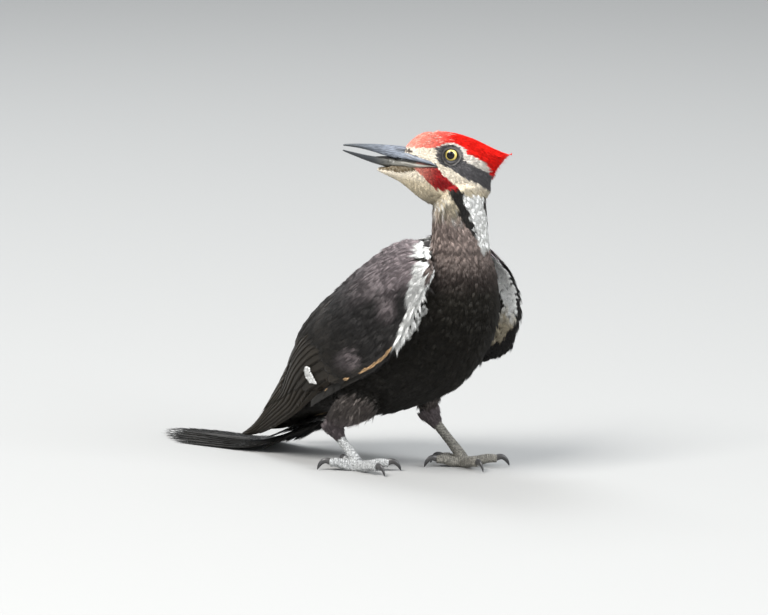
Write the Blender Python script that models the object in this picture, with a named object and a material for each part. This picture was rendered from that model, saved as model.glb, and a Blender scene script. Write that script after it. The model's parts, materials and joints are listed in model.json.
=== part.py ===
"""A life-size still model of a male pileated woodpecker, standing and looking back.

Lengths are in millimetres until the last step, which turns them into metres.
The bird's body heads along -Y, its right side is -X and up is +Z. The head is
turned back over the right shoulder. The feet, the claw tips and the end of the
tail share one level, Z = 0.
"""

import math

import bmesh
import bpy
from mathutils import Matrix
from mathutils import Vector
from mathutils.bvhtree import BVHTree

GAP = 0.35                     # clear space between neighbouring pieces
BODY_SIDES = 20                # corners of a ring of the trunk and neck
HEAD_SIDES = 16                # corners of a ring of the head
LIMB_SIDES = 10                # corners of a ring of a thigh or shank
TOE_SIDES = 8                  # corners of a ring of a toe
CLAW_SIDES = 6                 # corners of a ring of a claw
CREST_SIDES = 12               # corners of a ring of the crest

# Trunk and neck: place along Y, height, half width, depth above and below.
BODY = [
    (107.0, 31.0, 15.0, 7.0, 7.0),
    (91.0, 48.0, 27.0, 19.0, 17.0),
    (70.0, 64.0, 37.0, 34.0, 29.0),
    (46.0, 79.0, 43.0, 46.0, 42.0),
    (16.0, 91.0, 46.0, 56.0, 49.0),
    (-18.0, 115.0, 46.0, 58.0, 58.0),
    (-46.0, 141.0, 43.0, 50.0, 51.0),
    (-59.0, 163.0, 34.0, 37.0, 34.0),
    (-62.0, 184.0, 24.0, 26.0, 23.0),
    (-61.0, 205.0, 21.5, 21.5, 22.0),
    (-60.0, 234.0, 20.5, 20.5, 21.0),
]
NECK_START = 8                 # the station of BODY where the neck begins
BODY_STEPS = 3

# Head frame: centre of the skull, turn from -Y toward the bird's right, lift of the bill.
SKULL = Vector((-6.7, -52.6, 251.6))
HEAD_TURN = math.radians(140.0)
HEAD_LIFT = math.radians(10.0)

# Head, bill and crest sections: place forward, top, bottom, half width.
HEAD = [
    (53.0, -12.5, -15.8, 1.2),
    (50.0, -11.5, -17.0, 4.0),
    (44.0, -8.5, -18.8, 7.5),
    (38.0, -1.5, -20.6, 9.6),
    (34.0, 7.6, -22.0, 11.6),
    (27.0, 17.0, -25.6, 14.2),
    (19.0, 22.0, -30.2, 16.4),
    (9.0, 22.8, -34.4, 18.2),
    (-2.0, 21.6, -35.0, 19.0),
    (-13.0, 18.6, -34.0, 18.6),
    (-23.0, 13.0, -30.0, 16.6),
    (-31.0, 6.0, -26.0, 12.6),
    (-36.0, -4.0, -20.0, 7.0),
    (-37.5, -9.0, -15.0, 2.0),
]
UPPER_BILL = [
    (27.0, 6.0, -3.4, 6.4),
    (36.0, 7.0, -3.3, 6.2),
    (43.3, 6.3, -3.0, 5.7),
    (50.0, 5.6, -2.4, 5.1),
    (57.7, 4.8, -1.3, 4.5),
    (65.0, 3.7, -0.6, 3.8),
    (72.2, 2.5, -0.4, 2.9),
    (79.0, 1.1, -0.7, 1.9),
    (82.3, 0.2, -0.9, 1.1),
]
LOWER_BILL = [
    (26.0, -4.2, -11.5, 6.0),
    (36.0, -4.3, -11.8, 5.6),
    (45.0, -4.6, -11.6, 4.9),
    (52.5, -5.0, -10.9, 4.2),
    (60.0, -5.2, -9.8, 3.5),
    (69.0, -4.9, -8.0, 2.7),
    (77.0, -4.4, -6.2, 1.8),
    (82.0, -4.0, -4.9, 1.0),
]
CREST = [
    (14.0, 25.0, 18.0, 6.0),
    (8.0, 26.3, 15.0, 9.5),
    (0.0, 26.9, 11.0, 12.5),
    (-12.0, 25.8, 4.0, 14.0),
    (-24.0, 22.7, -3.0, 13.2),
    (-34.0, 20.2, -9.0, 10.6),
    (-41.5, 18.7, -2.0, 7.5),
    (-48.0, 17.8, 10.5, 3.8),
    (-52.3, 17.0, 15.4, 1.0),
]
EYE_FORWARD = -2.4
EYE_UP = 8.4
EYE_OUT = 11.6
EYE_RADIUS = 6.2

# A folded wing: lower edge (x, y, z), upper edge (x, y, z), bulge, thickness.
# The right wing is written with its own signs; X is outward here.
RIGHT_WING = [
    (36.0, -66.0, 171.0, 22.0, -48.0, 185.0, 2.0, 2.0),
    (45.0, -65.0, 158.0, 16.0, -26.0, 186.0, 6.0, 4.0),
    (49.0, -58.0, 138.0, 10.0, 1.0, 176.5, 10.0, 5.0),
    (50.0, -47.0, 117.0, 7.0, 27.0, 160.0, 12.0, 5.0),
    (50.0, -30.0, 96.0, 6.0, 54.0, 139.0, 13.0, 5.0),
    (49.0, -4.0, 80.0, 6.0, 79.0, 117.0, 12.0, 4.5),
    (46.0, 24.0, 66.0, 6.0, 101.0, 90.0, 11.0, 4.0),
    (40.0, 58.0, 48.0, 6.0, 115.0, 66.0, 9.0, 3.5),
    (36.0, 88.0, 31.0, 6.0, 129.0, 45.0, 6.0, 3.0),
    (30.0, 112.0, 19.5, 6.0, 141.0, 28.0, 4.0, 2.6),
    (22.0, 134.0, 12.5, 8.0, 150.0, 18.0, 2.0, 2.2),
    (15.0, 155.0, 9.8, 12.0, 158.0, 10.8, 0.5, 1.6),
]
LEFT_WING = [
    (37.0, -66.0, 172.0, 22.0, -48.0, 185.0, 2.0, 2.0),
    (49.0, -70.0, 158.0, 16.0, -26.0, 186.0, 8.0, 4.0),
    (56.0, -74.0, 138.0, 10.0, 1.0, 176.5, 12.0, 5.0),
    (57.0, -74.0, 118.0, 7.0, 27.0, 160.0, 14.0, 5.0),
    (57.0, -67.0, 98.0, 6.0, 54.0, 139.0, 14.0, 5.0),
    (55.0, -45.0, 84.0, 6.0, 79.0, 117.0, 13.0, 4.5),
    (52.0, 4.0, 70.0, 6.0, 101.0, 90.0, 11.0, 4.0),
    (43.0, 54.0, 49.0, 6.0, 115.0, 66.0, 9.0, 3.5),
    (36.0, 88.0, 31.0, 6.0, 129.0, 45.0, 6.0, 3.0),
    (30.0, 112.0, 19.5, 6.0, 141.0, 28.0, 4.0, 2.6),
    (22.0, 134.0, 12.5, 8.0, 150.0, 18.0, 2.0, 2.2),
    (15.0, 153.0, 9.8, 12.0, 156.0, 10.8, 0.5, 1.6),
]
WING_STEPS = 2
WING_LIFT = 1.8                # least clearance of a wing over the trunk
WING_COLUMNS = 8

# Tail: place along Y, height of the middle, half width of the fan.
TAIL_LINE = [
    (92.0, 26.0, 13.0),
    (105.0, 18.0, 17.0),
    (120.0, 11.0, 21.0),
    (137.0, 5.4, 25.0),
    (156.0, 2.4, 29.0),
    (180.0, 1.5, 33.0),
]
TAIL_REACH = [239.0, 235.0, 228.0, 218.0, 205.0]   # tips, middle feather outward
TAIL_NOTCH = 13.0              # depth of the cut between two feather tips
TAIL_HALF = 1.5                # half thickness
TAIL_CAMBER = 3.0              # rise of the middle above the edges

# Legs: x, y, z, radius.
THIGHS = {
    "right": [(-22.0, 10.0, 68.0, 18.0), (-26.0, 21.0, 56.0, 18.0), (-30.5, 34.0, 44.0, 12.5),
              (-32.0, 41.5, 36.0, 7.6), (-32.0, 40.0, 31.0, 4.6)],
    "left": [(21.0, -6.0, 72.0, 17.0), (26.0, -5.0, 59.0, 13.0), (29.0, -5.0, 48.0, 8.6),
             (30.5, -5.0, 41.0, 6.2), (31.5, -8.0, 37.0, 4.6)],
}
SHANKS = {
    "right": [(-32.0, 42.5, 37.0, 3.4), (-32.0, 41.5, 32.0, 3.4), (-31.0, 33.0, 21.0, 3.0),
              (-30.0, 24.0, 11.5, 3.6), (-30.0, 20.5, 5.2, 4.9), (-30.0, 20.0, -0.6, 3.9)],
    "left": [(30.5, -5.0, 42.0, 3.4), (31.6, -8.5, 36.5, 3.4), (34.5, -19.0, 24.0, 3.0),
             (37.0, -29.0, 12.5, 3.6), (38.0, -33.0, 5.2, 4.9), (38.0, -33.5, -0.6, 3.9)],
}
# Toes of each foot: direction in degrees from the heading, outward positive, and length.
TOES = {
    "right": [(14.0, 27.0), (-34.0, 25.0), (140.0, 21.0), (-163.0, 16.0)],
    "left": [(40.0, 27.0), (-22.0, 23.0), (-128.0, 21.0), (-165.0, 18.0)],
}
TOE_SECTION = [(0.0, 3.6, 2.2), (0.18, 3.5, 3.7), (0.45, 4.5, 3.5), (0.75, 6.4, 3.1),
               (1.0, 6.2, 2.5)]
CLAW_SECTION = [(-1.5, 6.3, 2.1), (2.5, 8.0, 2.2), (6.2, 7.2, 1.8), (9.0, 4.2, 1.25),
                (10.2, 0.4, 0.7)]
CLAW_NARROW = 0.72             # width of a claw over its height

# Colours: red, green, blue, roughness.
BLACK = (0.030, 0.027, 0.028, 0.75)
DARK = (0.050, 0.044, 0.042, 0.8)
GREY = (0.20, 0.20, 0.19, 0.6)
OLIVE = (0.13, 0.13, 0.115, 0.6)
HORN = (0.06, 0.065, 0.07, 0.4)


def blend(stations, steps):
    """A smooth run through the stations, every value carried together."""
    out = []
    last = len(stations) - 1
    for i in range(last):
        a = stations[max(i - 1, 0)]
        b = stations[i]
        c = stations[i + 1]
        d = stations[min(i + 2, last)]
        for k in range(steps):
            t = k / steps
            row = []
            for p, q, r, s in zip(a, b, c, d):
                square = (2 * p - 5 * q + 4 * r - s) * t * t
                cube = (3 * q - p - 3 * r + s) * t ** 3
                row.append(0.5 * (2 * q + (r - p) * t + square + cube))
            out.append(tuple(row))
    out.append(tuple(stations[last]))
    return out


def material(name, colour, metallic=0.0):
    """A plain Principled material: red, green, blue and roughness."""
    made = bpy.data.materials.new(name)
    made.use_nodes = True
    shader = made.node_tree.nodes["Principled BSDF"]
    shader.inputs["Base Color"].default_value = (colour[0], colour[1], colour[2], 1.0)
    shader.inputs["Roughness"].default_value = colour[3]
    shader.inputs["Metallic"].default_value = metallic
    made.diffuse_color = (colour[0], colour[1], colour[2], 1.0)
    return made


def piece(name, points, faces, colour):
    """One closed, outward-facing, smooth-shaded object with a material of its own."""
    mesh = bpy.data.meshes.new(name)
    mesh.from_pydata([tuple(p) for p in points], [], faces)
    bm = bmesh.new()
    bm.from_mesh(mesh)
    bmesh.ops.recalc_face_normals(bm, faces=bm.faces[:])
    bm.to_mesh(mesh)
    bm.free()
    made = bpy.data.objects.new(name, mesh)
    bpy.context.scene.collection.objects.link(made)
    mesh.materials.append(material(name + "_finish", colour))
    mesh.polygons.foreach_set("use_smooth", [True] * len(mesh.polygons))
    return made


def tube(name, rings, colour):
    """A closed skin over rings of equal size, each end closed by a fan."""
    sides = len(rings[0])
    points = []
    for ring in rings:
        points.extend(ring)
    faces = []
    for i in range(len(rings) - 1):
        for k in range(sides):
            n = (k + 1) % sides
            faces.append((i * sides + k, i * sides + n, (i + 1) * sides + n, (i + 1) * sides + k))
    for i in (0, len(rings) - 1):
        middle = sum((Vector(p) for p in rings[i]), Vector()) / sides
        points.append(middle)
        for k in range(sides):
            faces.append((i * sides + k, i * sides + (k + 1) % sides, len(points) - 1))
    return piece(name, points, faces, colour)


def body_rings(stations):
    """Rings square to a spine that lies in the middle plane of the body."""
    rings = []
    last = len(stations) - 1
    for i, (y, z, wide, above, below) in enumerate(stations):
        ahead = stations[min(i + 1, last)]
        behind = stations[max(i - 1, 0)]
        along = Vector((0.0, ahead[0] - behind[0], ahead[1] - behind[1])).normalized()
        back = Vector((0.0, along.z, -along.y))
        ring = []
        for k in range(BODY_SIDES):
            turn = 2 * math.pi * k / BODY_SIDES
            depth = above if math.cos(turn) > 0 else below
            side = Vector((math.sin(turn) * wide, 0.0, 0.0))
            ring.append(Vector((0.0, y, z)) + side + back * depth * math.cos(turn))
        rings.append(ring)
    return rings


def head_axes():
    """Forward, left and up of the turned and lifted head."""
    level = Vector((-math.sin(HEAD_TURN), -math.cos(HEAD_TURN), 0.0))
    forward = level * math.cos(HEAD_LIFT) + Vector((0, 0, 1)) * math.sin(HEAD_LIFT)
    left = Vector((0, 0, 1)).cross(level)
    return forward, left, forward.cross(left)


def head_place(forward, left, up):
    """A point given in the head's own frame."""
    axes = head_axes()
    return SKULL + axes[0] * forward + axes[1] * left + axes[2] * up


def head_rings(stations, steps, sides, power=1.0):
    """Rings across the head's length; power below 1 squares them off."""
    rings = []
    for place, top, bottom, wide in blend(stations, steps):
        ring = []
        for k in range(sides):
            turn = 2 * math.pi * (k + 0.5) / sides
            across = math.copysign(abs(math.sin(turn)) ** power, math.sin(turn))
            high = math.copysign(abs(math.cos(turn)) ** power, math.cos(turn))
            up = (top + bottom) / 2 + high * (top - bottom) / 2
            ring.append(head_place(place, across * wide, up))
        rings.append(ring)
    return rings


def limb_rings(stations, steps, sides, narrow=1.0):
    """Round rings square to a bent line of (x, y, z, radius)."""
    run = blend(stations, steps)
    rings = []
    for i, (x, y, z, radius) in enumerate(run):
        ahead = Vector(run[min(i + 1, len(run) - 1)][:3])
        behind = Vector(run[max(i - 1, 0)][:3])
        along = (ahead - behind).normalized()
        flat = Vector((along.x, along.y, 0.0))
        if flat.length < 0.05:
            flat = Vector((0.0, -1.0, 0.0))
        across = Vector((0, 0, 1)).cross(flat).normalized()
        up = along.cross(across).normalized()
        ring = []
        for k in range(sides):
            turn = 2 * math.pi * (k + 0.5) / sides
            offset = across * math.cos(turn) * radius * narrow + up * math.sin(turn) * radius
            ring.append(Vector((x, y, z)) + offset)
        rings.append(ring)
    return rings


def stand(made):
    """Rest a piece on the floor: whatever dips below Z = 0 becomes a small flat."""
    for corner in made.data.vertices:
        corner.co.z = max(corner.co.z, 0.0)
    return made


def wing(name, side, stations, trunk, colour):
    """A folded wing: a bowed plate laid over the trunk, thin at its edges."""
    tree = BVHTree.FromObject(trunk, bpy.context.evaluated_depsgraph_get())
    rows = blend(stations, WING_STEPS)
    inner = []
    for row in rows:
        low = Vector((side * row[0], row[1], row[2]))
        high = Vector((side * row[3], row[4], row[5]))
        out = Vector((side * (high.z - low.z), 0.0, side * (low.x - high.x))).normalized()
        grid_row = []
        for k in range(WING_COLUMNS):
            s = k / (WING_COLUMNS - 1)
            point = high.lerp(low, s) + out * row[6] * math.sin(math.pi * s)
            near, normal, _, _ = tree.find_nearest(point)
            if (point - near).dot(normal) < WING_LIFT:
                point = near + normal * WING_LIFT
            grid_row.append(point)
        inner.append(grid_row)
    outer = []
    for i, row in enumerate(rows):
        grid_row = []
        for k in range(WING_COLUMNS):
            down = inner[min(i + 1, len(rows) - 1)][k] - inner[max(i - 1, 0)][k]
            across = inner[i][min(k + 1, WING_COLUMNS - 1)] - inner[i][max(k - 1, 0)]
            face = down.cross(across).normalized()
            if face.x * side < 0:
                face = -face
            thick = row[7] * (0.35 + 0.65 * math.sin(math.pi * k / (WING_COLUMNS - 1)))
            grid_row.append(inner[i][k] + face * thick)
        outer.append(grid_row)
    return plate(name, inner, outer, colour)


def plate(name, inner, outer, colour):
    """A closed plate between two grids of points with the same rows and columns."""
    rows = len(inner)
    columns = len(inner[0])
    points = [p for row in inner for p in row] + [p for row in outer for p in row]
    half = rows * columns
    faces = []
    for i in range(rows - 1):
        for k in range(columns - 1):
            a = i * columns + k
            faces.append((a, a + 1, a + columns + 1, a + columns))
            faces.append((half + a, half + a + columns, half + a + columns + 1, half + a + 1))
    rim = [k for k in range(columns)]
    rim += [i * columns + columns - 1 for i in range(1, rows)]
    rim += [(rows - 1) * columns + k for k in range(columns - 2, -1, -1)]
    rim += [i * columns for i in range(rows - 2, 0, -1)]
    for a, b in zip(rim, rim[1:] + rim[:1]):
        faces.append((a, half + a, half + b, b))
    return piece(name, points, faces, colour)


def tail(name, colour):
    """The folded tail: one cambered fan whose end is cut into pointed feathers."""
    line = blend(TAIL_LINE, 1)
    tips = TAIL_REACH[:0:-1] + TAIL_REACH
    ends = []
    for i, reach in enumerate(tips):
        if i:
            ends.append(min(reach, tips[i - 1]) - TAIL_NOTCH)
        ends.append(reach)
    ends = [ends[0] - TAIL_NOTCH] + ends + [ends[-1] - TAIL_NOTCH]
    top = []
    bottom = []
    for y, z, wide in line + [(end, 1.5, 0.0) for end in (0.5, 1.0)]:
        high_row = []
        low_row = []
        for k, reach in enumerate(ends):
            s = 2 * k / (len(ends) - 1) - 1
            if wide:
                x, place = s * wide, y
            else:
                place = line[-1][0] + (reach - line[-1][0]) * y
                x = s * (line[-1][2] + 1.0)
            rise = TAIL_CAMBER * (1 - s * s) * (1.0 if wide else 1.0 - 0.6 * y)
            half = TAIL_HALF * (1.0 if wide else 1.0 - 0.35 * y)
            low = max(z - half + rise, 0.0) if wide else rise
            low = 0.0 if z - TAIL_HALF < 0.05 else low
            high_row.append(Vector((x, place, z + half + rise)))
            low_row.append(Vector((x, place, low)))
        top.append(high_row)
        bottom.append(low_row)
    return plate(name, bottom, top, colour)


def inflated(made, gap):
    """A copy of a mesh grown outward by the gap, used only to cut with."""
    mesh = made.data.copy()
    bm = bmesh.new()
    bm.from_mesh(mesh)
    bm.normal_update()
    moves = [(v, v.normal * gap * min(v.calc_shell_factor(), 1.6)) for v in bm.verts]
    for vertex, move in moves:
        vertex.co += move
    bm.to_mesh(mesh)
    bm.free()
    cutter = bpy.data.objects.new("cutter", mesh)
    bpy.context.scene.collection.objects.link(cutter)
    cutter.hide_render = True
    cutter.display_type = "WIRE"
    return cutter


def carve(made, *neighbours):
    """Cut each neighbour, grown by the gap, out of a piece."""
    for neighbour in neighbours:
        cutter = inflated(neighbour, GAP)
        cut = made.modifiers.new("cut", "BOOLEAN")
        cut.operation = "DIFFERENCE"
        cut.solver = "EXACT"
        cut.object = cutter
        bpy.context.view_layer.objects.active = made
        bpy.ops.object.modifier_apply(modifier=cut.name)
        bpy.data.objects.remove(cutter, do_unlink=True)
    return keep_main(made)


def keep_main(made):
    """Keep only the largest body of a piece and drop slivers left by a cut."""
    bm = bmesh.new()
    bm.from_mesh(made.data)
    bmesh.ops.triangulate(bm, faces=bm.faces[:])
    bmesh.ops.dissolve_degenerate(bm, edges=bm.edges[:], dist=0.004)
    left = set(bm.verts)
    bodies = []
    while left:
        front = [left.pop()]
        body = list(front)
        while front:
            for edge in front.pop().link_edges:
                for corner in edge.verts:
                    if corner in left:
                        left.remove(corner)
                        front.append(corner)
                        body.append(corner)
        bodies.append(body)
    bodies.sort(key=len)
    for body in bodies[:-1]:
        bmesh.ops.delete(bm, geom=body, context="VERTS")
    bm.to_mesh(made.data)
    bm.free()
    return made


def toe_line(foot, side, angle):
    """The level direction of a toe, angle outward from the heading."""
    turn = math.radians(angle)
    return Vector((side * math.sin(turn), -math.cos(turn), 0.0))


def leg(name, side, thigh_stations, shank_stations, toes, colour):
    """One leg: feathered thigh, bare shank with the foot's ball, four toes and claws."""
    thigh = tube(name + "_thigh", limb_rings(thigh_stations, 2, LIMB_SIDES), DARK)
    shank = stand(tube(name + "_shank", limb_rings(shank_stations, 2, LIMB_SIDES), colour))
    carve(shank, thigh)
    foot = Vector((shank_stations[-1][0], shank_stations[-1][1], 0.0))
    made = [thigh, shank]
    for i, (angle, length) in enumerate(toes):
        along = toe_line(foot, side, angle)
        run = []
        for part, height, radius in TOE_SECTION:
            spot = foot + along * length * part
            run.append((spot.x, spot.y, height, radius))
        toe = stand(tube("%s_toe_%d" % (name, i + 1), limb_rings(run, 2, TOE_SIDES), colour))
        run = []
        for reach, height, radius in CLAW_SECTION:
            spot = foot + along * (length + reach)
            run.append((spot.x, spot.y, height, radius))
        rings = limb_rings(run, 2, CLAW_SIDES, CLAW_NARROW)
        claw = stand(tube("%s_claw_%d" % (name, i + 1), rings, HORN))
        carve(toe, shank, *[t for t in made[2:] if "toe" in t.name])
        carve(claw, toe)
        made += [toe, claw]
    return made


def build():
    """Make every piece, then cut each clear of its neighbours."""
    run = blend(BODY, BODY_STEPS)
    split = NECK_START * BODY_STEPS
    trunk = tube("trunk", body_rings(run)[:split + 1], BLACK)
    neck_rings = body_rings(run)[split:]
    lift = (neck_rings[1][0] - neck_rings[0][0]).normalized() * GAP
    neck_rings[0] = [p + Vector((0.0, 0.0, lift.z)) for p in neck_rings[0]]
    neck = tube("neck", neck_rings, DARK)

    head = tube("head", head_rings(HEAD, 2, HEAD_SIDES, 0.92), (0.75, 0.70, 0.60, 0.8))
    crest = tube("crest", head_rings(CREST, 2, CREST_SIDES), (0.62, 0.02, 0.012, 0.7))
    upper = tube("upper_bill", head_rings(UPPER_BILL, 2, LIMB_SIDES), (0.10, 0.12, 0.14, 0.35))
    lower = tube("lower_bill", head_rings(LOWER_BILL, 2, LIMB_SIDES), (0.16, 0.15, 0.13, 0.4))
    eyes = []
    for word, side in (("left", 1.0), ("right", -1.0)):
        bpy.ops.mesh.primitive_uv_sphere_add(segments=10, ring_count=8, radius=EYE_RADIUS)
        ball = bpy.context.active_object
        ball.data.transform(Matrix.Translation(head_place(EYE_FORWARD, side * EYE_OUT, EYE_UP)))
        ball.name = "eye_" + word
        ball.data.materials.append(material(ball.name + "_finish", (0.80, 0.78, 0.50, 0.15)))
        ball.data.polygons.foreach_set("use_smooth", [True] * len(ball.data.polygons))
        eyes.append(ball)
    carve(head, upper, lower, *eyes)
    carve(crest, head, *eyes)
    carve(neck, head)

    right_wing = wing("right_wing", -1.0, RIGHT_WING, trunk, BLACK)
    left_wing = wing("left_wing", 1.0, LEFT_WING, trunk, BLACK)
    fan = tail("tail", BLACK)
    carve(fan, trunk)
    carve(right_wing, trunk, neck, fan)
    carve(left_wing, trunk, neck, fan)
    for name, side, colour in (("right", -1.0, GREY), ("left", 1.0, OLIVE)):
        made = leg(name, side, THIGHS[name], SHANKS[name], TOES[name], colour)
        carve(made[0], trunk, right_wing, left_wing)


def finish():
    """Centre the bird over the origin and turn millimetres into metres."""
    pieces = [made for made in bpy.data.objects if made.type == "MESH"]
    xs = [corner.co.x for made in pieces for corner in made.data.vertices]
    ys = [corner.co.y for made in pieces for corner in made.data.vertices]
    middle = Vector(((min(xs) + max(xs)) / 2, (min(ys) + max(ys)) / 2, 0.0))
    for made in pieces:
        made.data.transform(Matrix.Scale(0.001, 4) @ Matrix.Translation(-middle))
        made.data.update()
    print("centre", tuple(middle))


for old in list(bpy.data.objects):
    bpy.data.objects.remove(old, do_unlink=True)
build()
finish()
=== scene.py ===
# %% [markdown]
# # A pileated woodpecker in feathers
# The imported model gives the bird's solid shapes. This script dresses them: one skin under
# the coat, feathers made of solid mesh over it, then the bill, eyes, feet and claws.
# Every length below is in millimetres until a mesh is made, because a feather is easier to
# think of as 9 mm long than as 0.009 m.

# %% Load the frame
import json
import math

import bmesh
import bpy
import numpy as np
from mathutils import Matrix
from mathutils import Vector
from mathutils.bvhtree import BVHTree
from mathutils.kdtree import KDTree

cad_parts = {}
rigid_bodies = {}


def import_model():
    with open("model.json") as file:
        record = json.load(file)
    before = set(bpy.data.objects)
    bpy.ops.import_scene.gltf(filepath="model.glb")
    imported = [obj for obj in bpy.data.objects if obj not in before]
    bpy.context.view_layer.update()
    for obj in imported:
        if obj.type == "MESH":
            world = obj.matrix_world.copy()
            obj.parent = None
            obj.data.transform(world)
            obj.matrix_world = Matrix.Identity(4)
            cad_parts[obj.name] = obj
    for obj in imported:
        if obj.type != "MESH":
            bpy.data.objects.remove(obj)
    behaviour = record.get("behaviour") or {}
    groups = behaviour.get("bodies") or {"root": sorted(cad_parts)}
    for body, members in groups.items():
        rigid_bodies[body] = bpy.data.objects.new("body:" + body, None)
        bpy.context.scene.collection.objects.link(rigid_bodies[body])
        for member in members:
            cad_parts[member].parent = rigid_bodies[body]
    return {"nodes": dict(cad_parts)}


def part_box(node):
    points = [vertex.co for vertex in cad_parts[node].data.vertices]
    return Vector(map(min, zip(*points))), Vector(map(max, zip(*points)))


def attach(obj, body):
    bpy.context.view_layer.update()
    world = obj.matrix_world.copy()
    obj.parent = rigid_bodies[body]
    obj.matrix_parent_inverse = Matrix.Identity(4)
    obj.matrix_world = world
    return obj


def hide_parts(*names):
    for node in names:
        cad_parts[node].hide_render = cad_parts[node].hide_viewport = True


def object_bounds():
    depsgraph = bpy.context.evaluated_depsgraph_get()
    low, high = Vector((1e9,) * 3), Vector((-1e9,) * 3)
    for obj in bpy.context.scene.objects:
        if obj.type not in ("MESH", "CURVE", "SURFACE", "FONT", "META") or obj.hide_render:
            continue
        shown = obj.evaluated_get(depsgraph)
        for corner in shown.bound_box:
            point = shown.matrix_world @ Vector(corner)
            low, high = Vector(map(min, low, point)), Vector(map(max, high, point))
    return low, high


for left_over in list(bpy.data.objects):
    bpy.data.objects.remove(left_over, do_unlink=True)
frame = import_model()
NODES = frame["nodes"]
CAD_LOW, CAD_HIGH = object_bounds()
MM = 0.001
print("nodes:", len(NODES), "box in mm:", [round(v / MM) for v in CAD_HIGH - CAD_LOW])

# %% [markdown]
# ## Camera, floor and light
# A long lens from far away keeps the bird's proportions true. The floor is so large that it
# fills the whole picture. One big soft lamp stands high on the bird's face side, a weaker one
# fills the shade, and the sky colour lifts the black feathers.

# %% Camera
scene = bpy.context.scene
scene.view_settings.view_transform = "Standard"
CAMERA_TURN = -50.0            # degrees round the bird, from its front
CAMERA_RISE = 9.0              # degrees above the floor
CAMERA_REACH = 4.5             # metres from the bird
FRAME_WIDTH = 0.6144           # metres across the picture, at the bird
SENSOR_WIDTH = 36.0
TARGET_SHARE = (0.5462, 0.3517, 0.4551)     # place in the solids' box that the camera looks at


def toward(turn, rise):
    """The direction at one angle round the bird and another above the floor, in degrees."""
    a = math.radians(turn)
    e = math.radians(rise)
    return Vector((math.sin(a) * math.cos(e), -math.cos(a) * math.cos(e), math.sin(e)))


def aim_at_bird(made, away, reach):
    """Stand a lamp or camera at a distance from the bird, looking at it."""
    made.location = target + away * reach
    made.rotation_euler = (-away).to_track_quat("-Z", "Y").to_euler()
    scene.collection.objects.link(made)


target = CAD_LOW + (CAD_HIGH - CAD_LOW) * Vector(TARGET_SHARE)
lens = bpy.data.cameras.new("lens")
lens.sensor_width = SENSOR_WIDTH
lens.lens = SENSOR_WIDTH * CAMERA_REACH / FRAME_WIDTH
lens.clip_end = 200.0
camera = bpy.data.objects.new("camera", lens)
aim_at_bird(camera, toward(CAMERA_TURN, CAMERA_RISE), CAMERA_REACH)
scene.camera = camera
print("camera height in mm:", round(camera.location.z / MM))

# %% Shader kit
class Signal:
    """A node's output that takes part in sums as a number does."""

    def __init__(self, finish, socket):
        self.finish = finish
        self.socket = socket

    def maths(self, operation, other=0.0, flip=False):
        pair = (other, self) if flip else (self, other)
        inputs = {0: pair[0], 1: pair[1]}
        return self.finish.node("ShaderNodeMath", {"operation": operation}, inputs)

    def __add__(self, other):
        return self.maths("ADD", other)

    def __mul__(self, other):
        return self.maths("MULTIPLY", other)

    def __sub__(self, other):
        return self.maths("SUBTRACT", other)

    def __rsub__(self, other):
        return self.maths("SUBTRACT", other, flip=True)

    __radd__ = __add__
    __rmul__ = __mul__


class Finish:
    """A material: its sums are written as Python expressions."""

    def __init__(self, name, **settings):
        self.material = bpy.data.materials.new(name)
        self.material.use_nodes = True
        self.tree = self.material.node_tree
        self.shader = self.tree.nodes["Principled BSDF"]
        for socket, value in settings.items():
            self.shader.inputs[socket.replace("_", " ")].default_value = value

    def node(self, kind, settings=None, inputs=None, output=0):
        made = self.tree.nodes.new(kind)
        for key, value in (settings or {}).items():
            setattr(made, key, value)
        for key, value in (inputs or {}).items():
            self.feed(made.inputs[key], value)
        return Signal(self, made.outputs[output])

    def feed(self, socket, value):
        if isinstance(value, Signal):
            self.tree.links.new(value.socket, socket)
        else:
            socket.default_value = value

    def set(self, name, value):
        self.feed(self.shader.inputs[name], value)

    def mix(self, share, first, second, blend="MIX"):
        settings = {"data_type": "RGBA", "blend_type": blend}
        return self.node("ShaderNodeMix", settings, {0: share, 6: first, 7: second}, 2)

    def shade(self, colour, amount):
        """A colour made lighter or darker by a number that varies."""
        return self.node("ShaderNodeVectorMath", {"operation": "SCALE"}, {0: colour, 3: amount})

    def parts(self, vector):
        """The three numbers of a vector."""
        first = self.node("ShaderNodeSeparateXYZ", {}, {0: vector})
        return [Signal(self, socket) for socket in first.socket.node.outputs]

    def attribute(self, name, output=0):
        return self.node("ShaderNodeAttribute", {"attribute_name": name}, output=output)

    def place(self):
        return self.node("ShaderNodeTexCoord", output=3)

    def noise(self, where, scale, detail=3.0):
        return self.node("ShaderNodeTexNoise", {}, {"Vector": where, "Scale": scale, "Detail": detail})

    def cells(self, where, scale, feature="DISTANCE_TO_EDGE"):
        settings = {"feature": feature}
        return self.node("ShaderNodeTexVoronoi", settings, {"Vector": where, "Scale": scale})

    def spread(self, value, low, high, to_low=0.0, to_high=1.0):
        """A value moved from one range to another and kept inside it."""
        inputs = {0: value, 1: low, 2: high, 3: to_low, 4: to_high}
        return self.node("ShaderNodeMapRange", {}, inputs)

    def bump(self, height, depth, strength=1.0):
        inputs = {"Height": height, "Distance": depth, "Strength": strength}
        self.set("Normal", self.node("ShaderNodeBump", {}, inputs))


# %% Floor and light
FLOOR_COLOUR = (0.36, 0.36, 0.355, 1.0)
bpy.ops.mesh.primitive_plane_add(size=60.0, location=(0.0, 0.0, 0.0))
floor = bpy.context.active_object
floor.name = "floor"
floor.data.materials.append(Finish("floor_paint", Base_Color=FLOOR_COLOUR, Roughness=0.9).material)


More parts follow.
